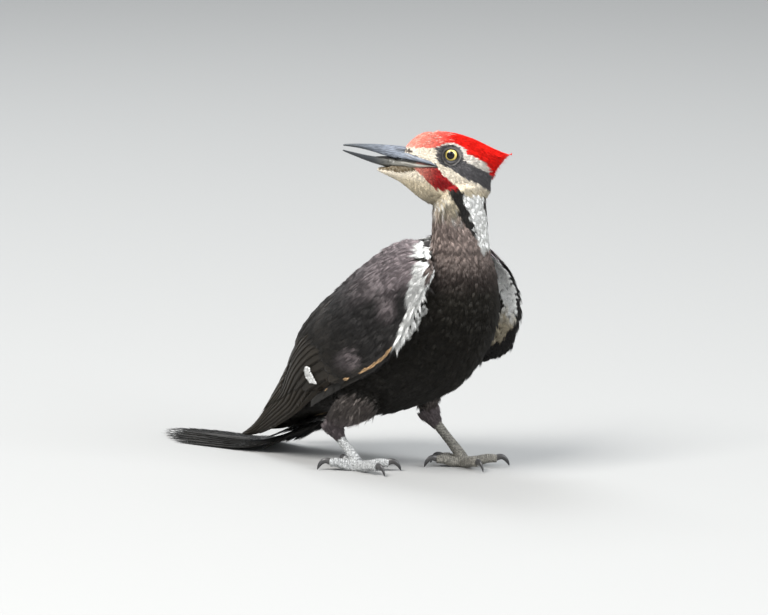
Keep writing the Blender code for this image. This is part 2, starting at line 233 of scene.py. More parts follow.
def lamp(name, turn, rise, reach, size, power, colour):
    """A square soft lamp that looks at the bird."""
    light = bpy.data.lights.new(name, "AREA")
    light.size = size
    light.energy = power
    light.color = colour
    aim_at_bird(bpy.data.objects.new(name, light), toward(turn, rise), reach)


lamp("key_lamp", -92.0, 50.0, 4.2, 1.9, 255.0, (1.0, 0.98, 0.95))
lamp("fill_lamp", 0.0, 32.0, 4.6, 2.6, 190.0, (0.96, 0.98, 1.0))
lamp("rim_lamp", 160.0, 55.0, 4.2, 2.0, 100.0, (0.95, 0.98, 1.0))
world = bpy.data.worlds.new("room")
scene.world = world
world.use_nodes = True
sky = world.node_tree.nodes["Background"]
sky.inputs["Color"].default_value = (0.86, 0.90, 0.94, 1.0)
sky.inputs["Strength"].default_value = 0.62

# %% [markdown]
# ## Frames of the head, body and wings
# Markings and feather directions are easiest to give in the bird's own terms: forward and up
# on the turned head, round the twisted neck, along the trunk's spine, and along and across a
# folded wing. The eyes' boxes give the head's frame. A wing's chart is a grid of points on
# the solid's outer or inner face.

# %% Numbers from the solids
def corners(node):
    """A node's points in mm."""
    flat = np.zeros(len(NODES[node].data.vertices) * 3)
    NODES[node].data.vertices.foreach_get("co", flat)
    return flat.reshape(-1, 3) / MM


def tree_of(names):
    """A search tree over several nodes, and the node that each face belongs to."""
    points = []
    faces = []
    owners = []
    for index, name in enumerate(names):
        start = len(points)
        points += [Vector(p) for p in corners(name)]
        for polygon in NODES[name].data.polygons:
            faces.append([start + v for v in polygon.vertices])
            owners.append(index)
    return BVHTree.FromPolygons(points, faces), owners


def middle(node):
    low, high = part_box(node)
    return np.array((low + high) / 2) / MM


HEAD_LIFT = math.radians(10.0)
eye_middle = (middle("eye_left") + middle("eye_right")) / 2
head_left = middle("eye_left") - middle("eye_right")
head_left[2] = 0.0
head_left /= np.linalg.norm(head_left)
level = np.cross(head_left, (0.0, 0.0, 1.0))
head_forward = level * math.cos(HEAD_LIFT) + np.array((0.0, 0.0, math.sin(HEAD_LIFT)))
head_up = np.cross(head_forward, head_left)
HEAD_AXES = np.array([head_forward, head_left, head_up])
VIEW_SLOPE = 0.158             # drop of a side marking for each mm that it lies outward


def to_head(points):
    """Forward, left and up of the point midway between the eyes."""
    return (points - eye_middle) @ HEAD_AXES.T


def head_view(points):
    """Forward, left and up of the eyes, and the level at which a side marking shows."""
    forward, left, up = to_head(points).T
    return forward, left, up, up - VIEW_SLOPE * np.abs(left)


def from_head(local):
    return eye_middle + np.asarray(local, float) @ HEAD_AXES


CENTRE = np.array((1.3, 72.07, 0.0))   # the solids' own drawing origin lies this far off
SPINE = np.array([                     # place along Y and height of the body's middle
    (-60.0, 245.0), (-60.0, 234.0), (-61.0, 205.0), (-62.0, 184.0), (-59.0, 163.0),
    (-46.0, 141.0), (-18.0, 115.0), (16.0, 91.0), (46.0, 79.0), (70.0, 64.0), (107.0, 31.0),
]) - (CENTRE[1], 0.0)
print("head forward:", head_forward.round(3), "eye middle:", eye_middle.round(1))

# %% Wing charts
WING_ROWS = {                  # front to tip: lower edge, upper edge, bow; x is outward
    "right": [
        (36, -66, 171, 22, -48, 185, 2), (45, -65, 158, 16, -26, 186, 6),
        (49, -58, 138, 10, 1, 176.5, 10), (50, -47, 117, 7, 27, 160, 12),
        (50, -30, 96, 6, 54, 139, 13), (49, -4, 80, 6, 79, 117, 12),
        (46, 24, 66, 6, 101, 90, 11), (40, 58, 48, 6, 115, 66, 9),
        (36, 88, 31, 6, 129, 45, 6), (30, 112, 19.5, 6, 141, 28, 4),
        (22, 134, 12.5, 8, 150, 18, 2), (15, 155, 9.8, 12, 158, 10.8, 0.5),
    ],
    "left": [
        (37, -66, 172, 22, -48, 185, 2), (49, -70, 158, 16, -26, 186, 8),
        (56, -74, 138, 10, 1, 176.5, 12), (57, -74, 118, 7, 27, 160, 14),
        (57, -67, 98, 6, 54, 139, 14), (55, -45, 84, 6, 79, 117, 13),
        (52, 4, 70, 6, 101, 90, 11), (43, 54, 49, 6, 115, 66, 9),
        (36, 88, 31, 6, 129, 45, 6), (30, 112, 19.5, 6, 141, 28, 4),
        (22, 134, 12.5, 8, 150, 18, 2), (15, 153, 9.8, 12, 156, 10.8, 0.5),
    ],
}
SIDES = {"right": -1.0, "left": 1.0}
CHART_A = np.linspace(-0.04, 1.06, 111)
CHART_B = np.linspace(-0.2, 1.2, 57)
CHART_EDGE = 0.03              # the face is read this far inside its edges
OUTER_REACH = 60.0             # mm from which rays look for the outer and the inner face
INNER_REACH = 25.0


def smooth_rows(rows, place):
    """Each column of a table of stations, blended at the given places from 0 to 1."""
    table = np.array(rows, float)
    spot = np.clip(place, 0.0, 1.0) * (len(table) - 1)
    i = np.minimum(spot.astype(int), len(table) - 2)
    t = (spot - i)[:, None]
    p = table[np.maximum(i - 1, 0)]
    q = table[i]
    r = table[i + 1]
    s = table[np.minimum(i + 2, len(table) - 1)]
    square = (2 * p - 5 * q + 4 * r - s) * t * t
    cube = (3 * q - p - 3 * r + s) * t ** 3
    return 0.5 * (2 * q + (r - p) * t + square + cube)


class Chart:
    """A wing's face as a map: a runs from shoulder to tip, b from upper to lower edge."""

    def __init__(self, side, inner=False):
        self.sign = SIDES[side]
        tree, _ = tree_of([side + "_wing"])
        rows = smooth_rows(WING_ROWS[side], CHART_A)
        grid = np.zeros((len(CHART_A), len(CHART_B), 3))
        for i, row in enumerate(rows):
            low = np.array((self.sign * row[0], row[1], row[2])) - CENTRE
            high = np.array((self.sign * row[3], row[4], row[5])) - CENTRE
            out = np.array((self.sign * (high[2] - low[2]), 0.0, self.sign * (low[0] - high[0])))
            out /= np.linalg.norm(out)
            out *= -1.0 if inner else 1.0
            for k, b in enumerate(CHART_B):
                kept_b = min(max(b, CHART_EDGE), 1 - CHART_EDGE)
                spot = high + (low - high) * kept_b
                reach = INNER_REACH if inner else OUTER_REACH
                hit = tree.ray_cast(Vector(spot + out * reach), Vector(-out))[0]
                bow = row[6] * math.sin(math.pi * kept_b)
                found = spot + out * bow if hit is None else np.array(hit)
                grid[i, k] = found + (low - high) * (b - kept_b)
        for _ in range(3):
            grid[1:-1, 1:-1] = (grid[1:-1, 1:-1] * 2 + grid[2:, 1:-1] + grid[:-2, 1:-1]
                                + grid[1:-1, 2:] + grid[1:-1, :-2]) / 6
        for i in range(3, -1, -1):
            grid[i] = grid[i + 1] + (grid[4] - grid[6]) / 2
        for i in range(len(CHART_A) - 5, len(CHART_A)):
            grid[i] = grid[i - 1] + (grid[-6] - grid[-9]) / 3
        self.grid = grid
        self.out = 1.0
        here = self.normal(np.array([0.5]), np.array([0.5]))[0]
        wanted = self.sign * (-1.0 if inner else 1.0)
        self.out = 1.0 if here[0] * wanted > 0 else -1.0

    def at(self, a, b):
        """Points on the face."""
        i = (np.asarray(a) - CHART_A[0]) / (CHART_A[1] - CHART_A[0])
        k = (np.asarray(b) - CHART_B[0]) / (CHART_B[1] - CHART_B[0])
        i = np.clip(i, 0, len(CHART_A) - 1.001)
        k = np.clip(k, 0, len(CHART_B) - 1.001)
        i0 = i.astype(int)
        k0 = k.astype(int)
        u = (i - i0)[..., None]
        v = (k - k0)[..., None]
        g = self.grid
        near = g[i0, k0] * (1 - v) + g[i0, k0 + 1] * v
        far = g[i0 + 1, k0] * (1 - v) + g[i0 + 1, k0 + 1] * v
        return near * (1 - u) + far * u

    def run(self, a, b):
        """The direction toward the tip."""
        return unit(self.at(np.asarray(a) + 0.015, b) - self.at(np.asarray(a) - 0.015, b))

    def normal(self, a, b):
        """The direction out of the face."""
        along = self.at(np.asarray(a) + 0.02, b) - self.at(np.asarray(a) - 0.02, b)
        across = self.at(a, np.asarray(b) + 0.03) - self.at(a, np.asarray(b) - 0.03)
        return unit(np.cross(along, across)) * self.out

    def down(self, a, b):
        """The direction toward the lower edge."""
        return unit(self.at(a, b + 0.02) - self.at(a, b - 0.02))


def unit(vectors):
    """Rows of length one."""
    return vectors / np.maximum(np.linalg.norm(vectors, axis=-1, keepdims=True), 1e-9)


CHARTS = {side: Chart(side) for side in SIDES}
LININGS = {side: Chart(side, inner=True) for side in SIDES}
for side, chart in CHARTS.items():
    print(side, "wing chart from", chart.grid[4, 28].round(), "to", chart.grid[-6, 28].round())

# %% [markdown]
# ## Markings
# Skin and feathers take their colours from one set of rules, so that a gap between two
# feathers never shows a wrong colour. On the head the rules are edges drawn in side view,
# in mm from the eye. On the neck they are stripes by angle, turned as the neck is twisted
# to look back. On the trunk and wings they are ramps and a few white fields.

# %% Colours
CAP_RED = np.array((0.80, 0.014, 0.008))
CAP_DEEP = np.array((0.52, 0.006, 0.007))
CAP_PALE = np.array((0.86, 0.36, 0.27))
MALAR_RED = np.array((0.36, 0.007, 0.009))
CREAM = np.array((0.86, 0.78, 0.65))
THROAT = np.array((0.70, 0.61, 0.45))
WHITE = np.array((0.84, 0.84, 0.82))
SLATE = np.array((0.105, 0.100, 0.104))
STAIN = np.array((0.16, 0.10, 0.035))
STRIPE_BLACK = np.array((0.018, 0.016, 0.014))
NECK_GREY = np.array((0.235, 0.185, 0.165))
BREAST_BLACK = np.array((0.0125, 0.0110, 0.0085))
# The grey of the black mantle and wings is painted sheen: the skylight's gloss on black feathers,
# painted into their colour.
PAINTED_SHEEN_GREY = np.array((0.185, 0.155, 0.160))
WING_BLACK = np.array((0.0185, 0.0170, 0.0165))
WING_BROWN = np.array((0.0150, 0.0120, 0.0085))
TAIL_BLACK = np.array((0.0065, 0.006, 0.005))
THIGH_GREY = np.array((0.086, 0.074, 0.068))
BUFF = np.array((0.55, 0.36, 0.19))
NOSTRIL_BROWN = np.array((0.095, 0.070, 0.055))
HORN_BLUE = np.array((0.19, 0.215, 0.25))
HORN_GREY = np.array((0.20, 0.19, 0.165))

# %% Edges of the head's fields, forward and up from the eye in side view
CAP_EDGE = [(-36, -18), (-34, -13), (-30.5, -6), (-23.5, -1.5), (-14.5, 0.5), (-10, 4.2), (-6, 6.4),
            (-2.5, 8), (4.5, 6.5), (10, 3.5), (13, 1), (17, 0), (23, -0.5), (31, -2), (37, -2)]
BROW_EDGE = [(-36, -16), (-33, -11.4), (-25, -9.7), (-15.5, -7.2), (-11, -5.4), (-9, 0.5), (-8, 3),
             (-4.5, 5.2), (1, 5.8), (6.5, 4.6), (10, 2.2), (14, 0.6)]
SLATE_EDGE = [(-36, -24), (-31.4, -23.3), (-22.5, -20.7), (-13.7, -18.6), (-6, -15.2), (0.7, -12.6),
              (4, -8.9), (6.7, -4.7), (10.5, -2), (14, 0.6)]
MALAR = [(27, -17.7), (18, -14), (9.7, -14.7), (4.3, -18.5), (-2, -22.8), (-10, -27.5),
         (-8, -30.5), (0.5, -32), (7.4, -31.2), (14, -27), (17, -22.8), (24, -20.6)]
CHIN_STAIN = [(54, -23), (50, -16), (38, -15), (27, -16), (24, -19), (33, -22.5), (44, -23)]
HORN_TOP = [(9, -13.0), (13, -11.2), (21.5, -9.0), (30, -7.8), (36, -7.2), (42, -6.6)]
HORN_FOOT = [(9, -14.0), (17, -14.7), (27, -17.2), (34, -16.9), (41, -16.1), (52, -16.4)]


def along(points, where):
    """Height of an edge at each place."""
    table = np.array(sorted(points), float)
    return np.interp(where, table[:, 0], table[:, 1])


def is_horn(f, w):
    """Which places of the head's side are horn, not feathers."""
    return (f > 9) & (w < along(HORN_TOP, f)) & (w > along(HORN_FOOT, f))


def inside(outline, x, y):
    """Which points lie inside a closed outline."""
    found = np.zeros(len(x), bool)
    for (x1, y1), (x2, y2) in zip(outline, outline[1:] + outline[:1]):
        crosses = (y1 > y) != (y2 > y)
        at = (x2 - x1) * (y - y1) / ((y2 - y1) or 1e-9) + x1
        found ^= crosses & (x < at)
    return found


def ripple(points, size, seed=0.0):
    """A smooth wandering value from -1 to 1, about size mm between crests."""
    k = 2 * math.pi / size
    x, y, z = (points * k).T
    first = np.sin(x * 0.9 + 1.7 * np.sin(y * 0.7 + seed) + z * 0.5 + seed)
    second = np.sin(y * 1.1 + 1.3 * np.sin(z * 0.8 + 2 * seed) - x * 0.6 + 3 * seed)
    return (first + second) / 2


def step(value, low, high):
    """A soft step from 0 to 1."""
    t = np.clip((value - low) / (high - low), 0.0, 1.0)
    return t * t * (3 - 2 * t)


def blend(share, first, second):
    share = np.asarray(share)[..., None]
    return first * (1 - share) + second * share


def ramp(value, stops):
    """Colours read off a list of (value, colour)."""
    table = sorted(stops, key=lambda stop: stop[0])
    places = [stop[0] for stop in table]
    tints = np.array([stop[1] for stop in table])
    return np.stack([np.interp(value, places, tints[:, c]) for c in range(3)], 1)


# %% Head, neck, trunk and wing rules
STRIPE_TOP = [(-3.2, -31.9), (-7.0, -30.8), (-10.8, -28.9), (-12.6, -29.0), (-15.5, -34.5),
              (-19.5, -41.5), (-26.6, -49.7), (-22.7, -55.3), (-15.3, -45.2), (-9.1, -38.2)]


def head_colours(points):
    """Cream face, slate stripe, stained chin, red moustache and cap."""
    f, _, _, w = head_view(points)
    f = f + 0.5 * ripple(points, 5.0)
    w = w + 0.5 * ripple(points, 4.0, 1.0)
    colours = np.tile(CREAM, (len(points), 1))
    low = step(-w, 22.0, 30.0)
    colours = blend(low, colours, THROAT)
    brow = (w > along(BROW_EDGE, f)) & (f < 14)
    colours[brow] = WHITE * (0.84, 0.79, 0.73)
    slate = (w <= along(BROW_EDGE, f)) & (w > along(SLATE_EDGE, f)) & (f < 14)
    colours[slate] = SLATE
    ring = np.hypot((f - 0.5) / 11.0, (w + 3.8) / 8.8) < 1.0
    colours[ring] = blend(0.5 + 0.5 * ripple(points[ring], 2.0), SLATE * 0.35, SLATE)
    stained = inside(CHIN_STAIN, f, w)
    stained |= (f > 35) & (w < -14.0) & (w > -20.5 - 0.1 * (f - 35))
    colours[stained] = blend(0.35 + 0.45 * ripple(points[stained], 3.0), STAIN * 0.6, THROAT * 0.45)
    malar = inside(MALAR, f, w)
    tone = step(f[malar], 6.0, 24.0)
    colours[malar] = blend(tone * 0.8, MALAR_RED, CAP_PALE * 0.75)
    colours[inside(STRIPE_TOP, f, w) & ~malar] = STRIPE_BLACK
    horn = is_horn(f, w)
    colours[horn] = np.where((w[horn] > -12.2)[:, None], HORN_BLUE, HORN_GREY)
    # The slit of the mouth along the gape is painted black, as shade.
    colours[(f > 10.5) & (np.abs(w + 13.0) < 1.9)] = (0.01, 0.01, 0.01)
    tuft = (f > 30) & (np.abs(w + 4.8) < 1.6 + 0.6 * ripple(points, 2.0))
    colours[tuft] = NOSTRIL_BROWN
    cap = w > along(CAP_EDGE, f)
    red = blend(step(-f, 18.0, 44.0) * step(-w, -12.0, 10.0), CAP_RED, CAP_DEEP)
    red = blend(step(f, -2.0, 24.0) * 0.75, red, CAP_PALE)
    fleck = (ripple(points, 2.6, 2.0) > 0.62) & (f > -2)
    red[fleck] = blend(0.6, red[fleck], np.array((0.80, 0.62, 0.52)))
    colours[cap] = red[cap]
    return colours


TWIST_FOOT = 120.0             # height where the neck starts to turn
TWIST_RATE = 1.12              # degrees of turn for each mm above that


def neck_turn(points):
    """Angle round the neck from the throat's middle, left negative, and the neck's twist."""
    centre_y = np.interp(points[:, 2], SPINE[::-1, 1], SPINE[::-1, 0])
    angle = np.degrees(np.arctan2(-(points[:, 0] + CENTRE[0]), -(points[:, 1] - centre_y)))
    twist = np.clip((points[:, 2] - TWIST_FOOT) * TWIST_RATE, 0.0, 140.0)
    return (angle - twist + 180.0) % 360.0 - 180.0, twist


FRONT = [                              # height and colour down the neck's front
    (60, BREAST_BLACK * 0.9), (125, BREAST_BLACK), (148, BREAST_BLACK * 1.6),
    (162, NECK_GREY * 0.22), (174, NECK_GREY * 0.5), (190, NECK_GREY * 1.2),
    (205, NECK_GREY * 1.35), (215, THROAT * 0.5), (222, THROAT * 0.72), (229, THROAT),
]


def neck_colours(points):
    """Grey throat, black stripes, white sides and a black nape, by height and by angle."""
    turn, _ = neck_turn(points)
    z = points[:, 2] + 2.0 * ripple(points, 7.0)
    off = np.abs(turn) + 4.0 * ripple(points, 5.0, 1.0)
    colours = ramp(z, FRONT)
    mottle = step(z, 202.0, 210.0) * step(-z, -226.0, -216.0) * (ripple(points, 3.2, 4.0) > 0.35)
    colours = blend(mottle * 0.55, colours, WHITE * 0.8)
    half = np.interp(z, (196.0, 204.0, 228.0), (4.0, 7.5, 13.0))
    stripe = (np.abs(off - 64.0) < half) & (z > 196)
    colours[stripe] = STRIPE_BLACK
    colours[stripe & (ripple(points, 2.2, 5.0) > 0.74)] = THROAT * 0.45
    f, _, _, level = head_view(points)
    colours[inside(STRIPE_TOP, f, level) & (z > 205)] = STRIPE_BLACK
    foot = np.where(turn < 0, 183.0, 171.0)
    white = (off >= 64.0 + half) & (off < 128.0) & (z > foot)
    colours[white] = WHITE
    hind = (off >= 128.0) & (z > 186)
    colours[hind] = STRIPE_BLACK * 1.2
    return colours


def spine_frame(points):
    """Depth above the spine, and the spine's own direction toward the tail."""
    dense_y = np.interp(np.linspace(0, 10, 80), range(11), SPINE[:, 0])
    dense_z = np.interp(np.linspace(0, 10, 80), range(11), SPINE[:, 1])
    run = np.stack([np.gradient(dense_y), np.gradient(dense_z)], 1)
    run = unit(run)
    gap = (points[:, 1:2] - dense_y) ** 2 + (points[:, 2:3] - dense_z) ** 2
    share = np.exp(-(gap - gap.min(1, keepdims=True)) / (2 * 14.0 ** 2))
    share /= share.sum(1, keepdims=True)
    tangent = unit(share @ run)
    centre = np.stack([share @ dense_y, share @ dense_z], 1)
    upward = np.stack([-tangent[:, 1], tangent[:, 0]], 1)
    depth = ((points[:, 1:] - centre) * upward).sum(1)
    return depth, tangent


# The mantle's grey toward the top is painted sheen.
MANTLE = [(-135, PAINTED_SHEEN_GREY * 1.3), (-105, PAINTED_SHEEN_GREY * 1.4), (-85, PAINTED_SHEEN_GREY * 0.9),
          (-65, WING_BLACK * 1.5), (-30, WING_BLACK), (20, WING_BROWN)]
# Lines of x, y, z and radius, which the white and grey fields follow.
BAND = {"right": [(-42, -127, 171, 5.2), (-46, -130, 165, 6.5), (-48, -131, 160, 7),
                  (-49.5, -130, 153, 7), (-50, -130, 147, 7), (-51, -129, 140, 7),
                  (-51.5, -126, 132, 6), (-52, -121, 122, 5.8), (-53, -117, 114, 5),
                  (-53, -114, 109, 4)],
        "left": [(40, -134, 167, 4), (46, -138, 153, 4.5), (49, -142, 141, 4)]}
SHOULDER = [(-10, -113, 197, 7), (-18, -115, 191, 8), (-27, -119, 187, 8.5), (-34, -124, 182.5, 7),
            (-37, -128, 180, 3.5)]
BAND_FRONT = [(-42, -131, 144, 2.5), (-42, -130, 138, 3.5), (-43, -126, 131, 3.2),
              (-44, -119.5, 122, 3.2), (-44.5, -115, 113, 2.5)]


FRONT_EDGE = [(-42.5, -137.5, 164, 3.0), (-39.5, -136, 171, 4.8), (-37, -134.5, 176, 4.2),
              (-31, -131, 177, 3.5)]
FAR_SHOULDER = [(17, -87, 179, 4.5), (11, -85, 185, 4.5)]
NOTCH = [(-42, -118, 176.8, 1.6), (-39, -127, 176.2, 1.5), (-36, -134, 176.5, 1.6)]
CREASE = [(-24, -121, 185, 4.5), (-29, -125, 187, 5.0), (-37, -133, 175, 5.0)]


def near_line(points, line):
    """Distance to a line of (x, y, z, radius), over its radius."""
    best = np.full(len(points), 99.0)
    for first, second in zip(np.array(line[:-1], float), np.array(line[1:], float)):
        run = second[:3] - first[:3]
        t = np.clip((points - first[:3]) @ run / (run @ run), 0.0, 1.0)
        gap = np.linalg.norm(points - first[:3] - t[:, None] * run, axis=1)
        best = np.minimum(best, gap / (first[3] + (second[3] - first[3]) * t))
    return best


def white_fields(points, colours):
    """The white shoulder patches, the band along each wing's front edge, and their breaks."""
    ragged = 0.12 * ripple(points, 4.0, 2.0)
    for line in (SHOULDER, BAND_FRONT, BAND["right"], BAND["left"]):
        colours[near_line(points, line) + ragged < 1.0] = WHITE
    mirrored = np.array(SHOULDER, float) * (-1, 1, 1, 1)
    colours[near_line(points, mirrored) + ragged < 0.9] = WHITE
    colours[near_line(points, NOTCH) < 1.0] = BREAST_BLACK * 1.5
    colours[near_line(points, FRONT_EDGE) < 1.0] = NECK_GREY * 0.5
    colours[near_line(points, FAR_SHOULDER) < 1.0] = WHITE
    return colours


def trunk_colours(points):
    """Black below, painted sheen grey on the mantle above, and the neck's colours at the top."""
    depth, _ = spine_frame(points)
    front = ramp(points[:, 2], FRONT)
    mantle = ramp(points[:, 1], MANTLE)
    colours = blend(step(depth, -2.0, 10.0), front, mantle)
    neck = step(points[:, 2], 164.0, 178.0)
    colours = blend(neck * step(-depth, -22.0, -8.0), colours, neck_colours(points))
    return white_fields(points, colours)


def wing_colours(points, a, b):
    """Markings of a wing's outer face, from its chart."""
    wander = 0.03 * ripple(points, 9.0)
    rear = ramp(a, [(0.0, WING_BLACK * 1.5), (0.35, WING_BLACK * 1.4), (0.5, WING_BROWN * 1.2),
                    (0.75, WING_BROWN), (1.0, WING_BROWN * 0.8)])
    # The grey near the shoulder, and in the two lobes below, is painted sheen.
    mantle = ramp(a, [(0.0, PAINTED_SHEEN_GREY * 1.4), (0.12, PAINTED_SHEEN_GREY * 1.6), (0.22, PAINTED_SHEEN_GREY * 0.9),
                      (0.36, WING_BLACK * 2.2), (0.5, WING_BROWN * 1.5)])
    reach = np.interp(a, (0.0, 0.15, 0.3, 0.5), (1.1, 0.75, 0.52, 0.4)) + wander
    colours = blend(step(reach - b, -0.08, 0.08), rear, mantle)
    for at_a, at_b, wide_a, wide_b in ((0.235, 0.74, 0.045, 0.12), (0.43, 0.85, 0.035, 0.08)):
        lobe = ((a - at_a) / wide_a) ** 2 + ((b - at_b) / wide_b) ** 2
        colours = blend(step(1.5 - lobe, 0.0, 1.3) * 0.75, colours, PAINTED_SHEEN_GREY * 0.8)
    return white_fields(points, colours)


# %% Which part a point belongs to
FLESH = ["head", "crest", "neck", "trunk", "right_thigh", "left_thigh", "right_wing", "left_wing"]
flesh_tree, flesh_owner = tree_of(FLESH)
chart_trees = {}
for side, chart in CHARTS.items():
    tree = KDTree(chart.grid.shape[0] * chart.grid.shape[1])
    for n, point in enumerate(chart.grid.reshape(-1, 3)):
        tree.insert(Vector(point), n)
    tree.balance()
    chart_trees[side] = tree


def zones(points):
    """The name of the nearest flesh node for each point."""
    return np.array([FLESH[flesh_owner[flesh_tree.find_nearest(Vector(p))[2]]] for p in points])


def chart_spot(side, points):
    """Where points lie on a wing's chart."""
    found = np.array([chart_trees[side].find(Vector(p))[1] for p in points], int)
    return CHART_A[found // len(CHART_B)], CHART_B[found % len(CHART_B)]


def plumage(points, zone):
    """The colour of the coat at each point."""
    points = np.asarray(points, float)
    colours = np.zeros((len(points), 3))
    w = to_head(points)[:, 2]
    head = np.isin(zone, ("head", "crest")) | ((zone == "neck") & (w > -29.0))
    neck = (zone == "neck") & ~head
    for chosen, rule in ((head, head_colours), (neck, neck_colours), (zone == "trunk", trunk_colours)):
        if chosen.any():
            colours[chosen] = rule(points[chosen])
    low = head & (w < -27.0)
    if low.any():
        share = step(-w[low] + 1.5 * ripple(points[low], 4.0), 27.0, 33.0)
        colours[low] = blend(share, colours[low], neck_colours(points[low]))
    for side in SIDES:
        wing = zone == side + "_wing"
        if wing.any():
            a, b = chart_spot(side, points[wing])
            colours[wing] = wing_colours(points[wing], a, b)
        thigh = zone == side + "_thigh"
        if thigh.any():
            pale = 0.5 + 0.5 * ripple(points[thigh], 6.0, 3.0)
            tone = blend(pale, THIGH_GREY * 0.75, THIGH_GREY * 1.2)
            # The lower right thigh is blended toward the painted sheen grey.
            low = step(-points[thigh, 2], -46.0, -34.0) * (side == "right")
            colours[thigh] = blend(low * 0.7, tone, PAINTED_SHEEN_GREY)
    return colours


print("red at the crown:", plumage(np.array([from_head((0, 0, 17))]), np.array(["crest"])).round(2))

# %% [markdown]
# ## Skin
# A real bird has one skin from the bill to the tail, so the flesh solids are copied, grown
# over their hairline gaps, fused by a voxel remesh and smoothed. The fused skin is then sunk
# by the depth of the coat: deep under the breast feathers, almost nothing on the face.

# %% Fuse the flesh
SEAM_GROW = 0.5                # mm by which each solid grows, to bridge the gaps
SKIN_VOXEL = 1.3
SKIN_KEEP = 0.36               # share of the fused skin's faces that is kept
WELD = 2e-6                    # metres between corners that count as one
SHARPEST = 1.5                 # most by which growth is stretched at a corner
THIN_SHARE = 0.3               # no part sinks by more than this share of its thickness
SINK_ROUNDS = 12               # how often the depth is averaged with its neighbours'
COAT_DEPTH = {"head": 0.7, "crest": 2.8, "neck": 0.6, "trunk": 1.8, "right_thigh": 1.6,
              "left_thigh": 1.4, "right_wing": 1.1, "left_wing": 1.1}
WING_CUT = -0.012              # metres along Y where the wings' flesh ends
UNDER_FLIGHT = -50.0           # behind this, in mm, only flight feathers cover the wing's skin
SKIN_SHADE = 0.95              # skin between feathers, against the feathers' own colour
# The mouth's slit is painted black, as the shade inside the open mouth.
MOUTH_SHADE = 0.012            # skin in the slit between the halves of the bill


def select_none():
    """Object mode, with nothing selected."""
    if bpy.context.object and bpy.context.object.mode != "OBJECT":
        bpy.ops.object.mode_set(mode="OBJECT")
    bpy.ops.object.select_all(action="DESELECT")


def select_only(*objects):
    select_none()
    for each in objects:
        each.select_set(True)
    bpy.context.view_layer.objects.active = objects[0]


def face_outward(piece):
    """Turn the faces of a closed piece outward and shade it smooth."""
    select_only(piece)
    bpy.ops.object.mode_set(mode="EDIT")
    bpy.ops.mesh.select_all(action="SELECT")
    bpy.ops.mesh.normals_make_consistent(inside=False)
    bpy.ops.object.mode_set(mode="OBJECT")
    bpy.ops.object.shade_smooth()


def copy_of(nodes, grow, name, cut=None):
    """Welded, slightly grown copies of CAD nodes, joined into one object."""
    made = []
    for node in nodes:
        mesh = NODES[node].data.copy()
        mesh.materials.clear()
        piece = bpy.data.objects.new(name, mesh)
        scene.collection.objects.link(piece)
        bm = bmesh.new()
        bm.from_mesh(mesh)
        bmesh.ops.remove_doubles(bm, verts=bm.verts[:], dist=WELD)
        if cut and "wing" in node:
            geometry = bm.verts[:] + bm.edges[:] + bm.faces[:]
            cutting = {"plane_co": (0, cut, 0), "plane_no": (0, 1, 0), "clear_outer": True}
            found = bmesh.ops.bisect_plane(bm, geom=geometry, **cutting)
            rim = [e for e in found["geom_cut"] if isinstance(e, bmesh.types.BMEdge)]
            bmesh.ops.holes_fill(bm, edges=rim, sides=0)
        bm.normal_update()
        moves = [(v, v.normal * grow * MM * min(v.calc_shell_factor(), SHARPEST)) for v in bm.verts]
        for vertex, move in moves:
            vertex.co += move
        bm.to_mesh(mesh)
        bm.free()
        made.append(piece)
    select_only(*made)
    bpy.ops.object.join()
    joined = bpy.context.active_object
    joined.name = name
    return joined


def apply_modifier(piece, kind, **settings):
    """Add a modifier, set it and apply it."""
    select_only(piece)
    added = piece.modifiers.new(kind.lower(), kind)
    for key, value in settings.items():
        setattr(added, key, value)
    bpy.ops.object.modifier_apply(modifier=added.name)
    return piece


def vertices(piece):
    flat = np.zeros(len(piece.data.vertices) * 3)
    piece.data.vertices.foreach_get("co", flat)
    return flat.reshape(-1, 3) / MM


def set_vertices(piece, points):
    piece.data.vertices.foreach_set("co", (np.asarray(points) * MM).astype(np.float32).ravel())
    piece.data.update()


def normals(piece):
    flat = np.zeros(len(piece.data.vertices) * 3)
    piece.data.vertices.foreach_get("normal", flat)
    return flat.reshape(-1, 3)


def mark_places(piece, places, name="Place"):
    """Store three numbers at each vertex, which a finish reads."""
    layer = piece.data.attributes.new(name, "FLOAT_VECTOR", "POINT")
    layer.data.foreach_set("vector", np.asarray(places).astype(np.float32).ravel())


def paint(piece, colours):
    """Store a colour at each vertex."""
    layer = piece.data.color_attributes.new("Colour", "FLOAT_COLOR", "POINT")
    flat = np.ones((len(colours), 4), np.float32)
    flat[:, :3] = colours
    layer.data.foreach_set("color", flat.ravel())


skin = copy_of(FLESH, SEAM_GROW, "skin", WING_CUT)
apply_modifier(skin, "REMESH", mode="VOXEL", voxel_size=SKIN_VOXEL * MM)
apply_modifier(skin, "SMOOTH", factor=0.5, iterations=6)
print("skin faces after the remesh:", len(skin.data.polygons))

# %% Sink it by the coat's depth
shell = vertices(skin)
facing = normals(skin)
skin_zone = zones(shell)
body_tree = BVHTree.FromObject(skin, bpy.context.evaluated_depsgraph_get())
sink = np.zeros(len(shell))
for i, (point, normal) in enumerate(zip(shell, facing)):
    start = Vector((point - normal * 0.2) * MM)
    hit = body_tree.ray_cast(start, Vector(-normal))[3]
    thick = 99.0 if hit is None else hit / MM
    sink[i] = min(COAT_DEPTH[skin_zone[i]] + SEAM_GROW, THIN_SHARE * thick)
edges = np.zeros(len(skin.data.edges) * 2, int)
skin.data.edges.foreach_get("vertices", edges)
edges = edges.reshape(-1, 2)
for _ in range(SINK_ROUNDS):
    total = sink.copy()
    count = np.ones(len(sink))
    for one, other in ((0, 1), (1, 0)):
        np.add.at(total, edges[:, one], sink[edges[:, other]])
        np.add.at(count, edges[:, one], 1)
    sink = total / count
set_vertices(skin, shell - facing * sink[:, None])
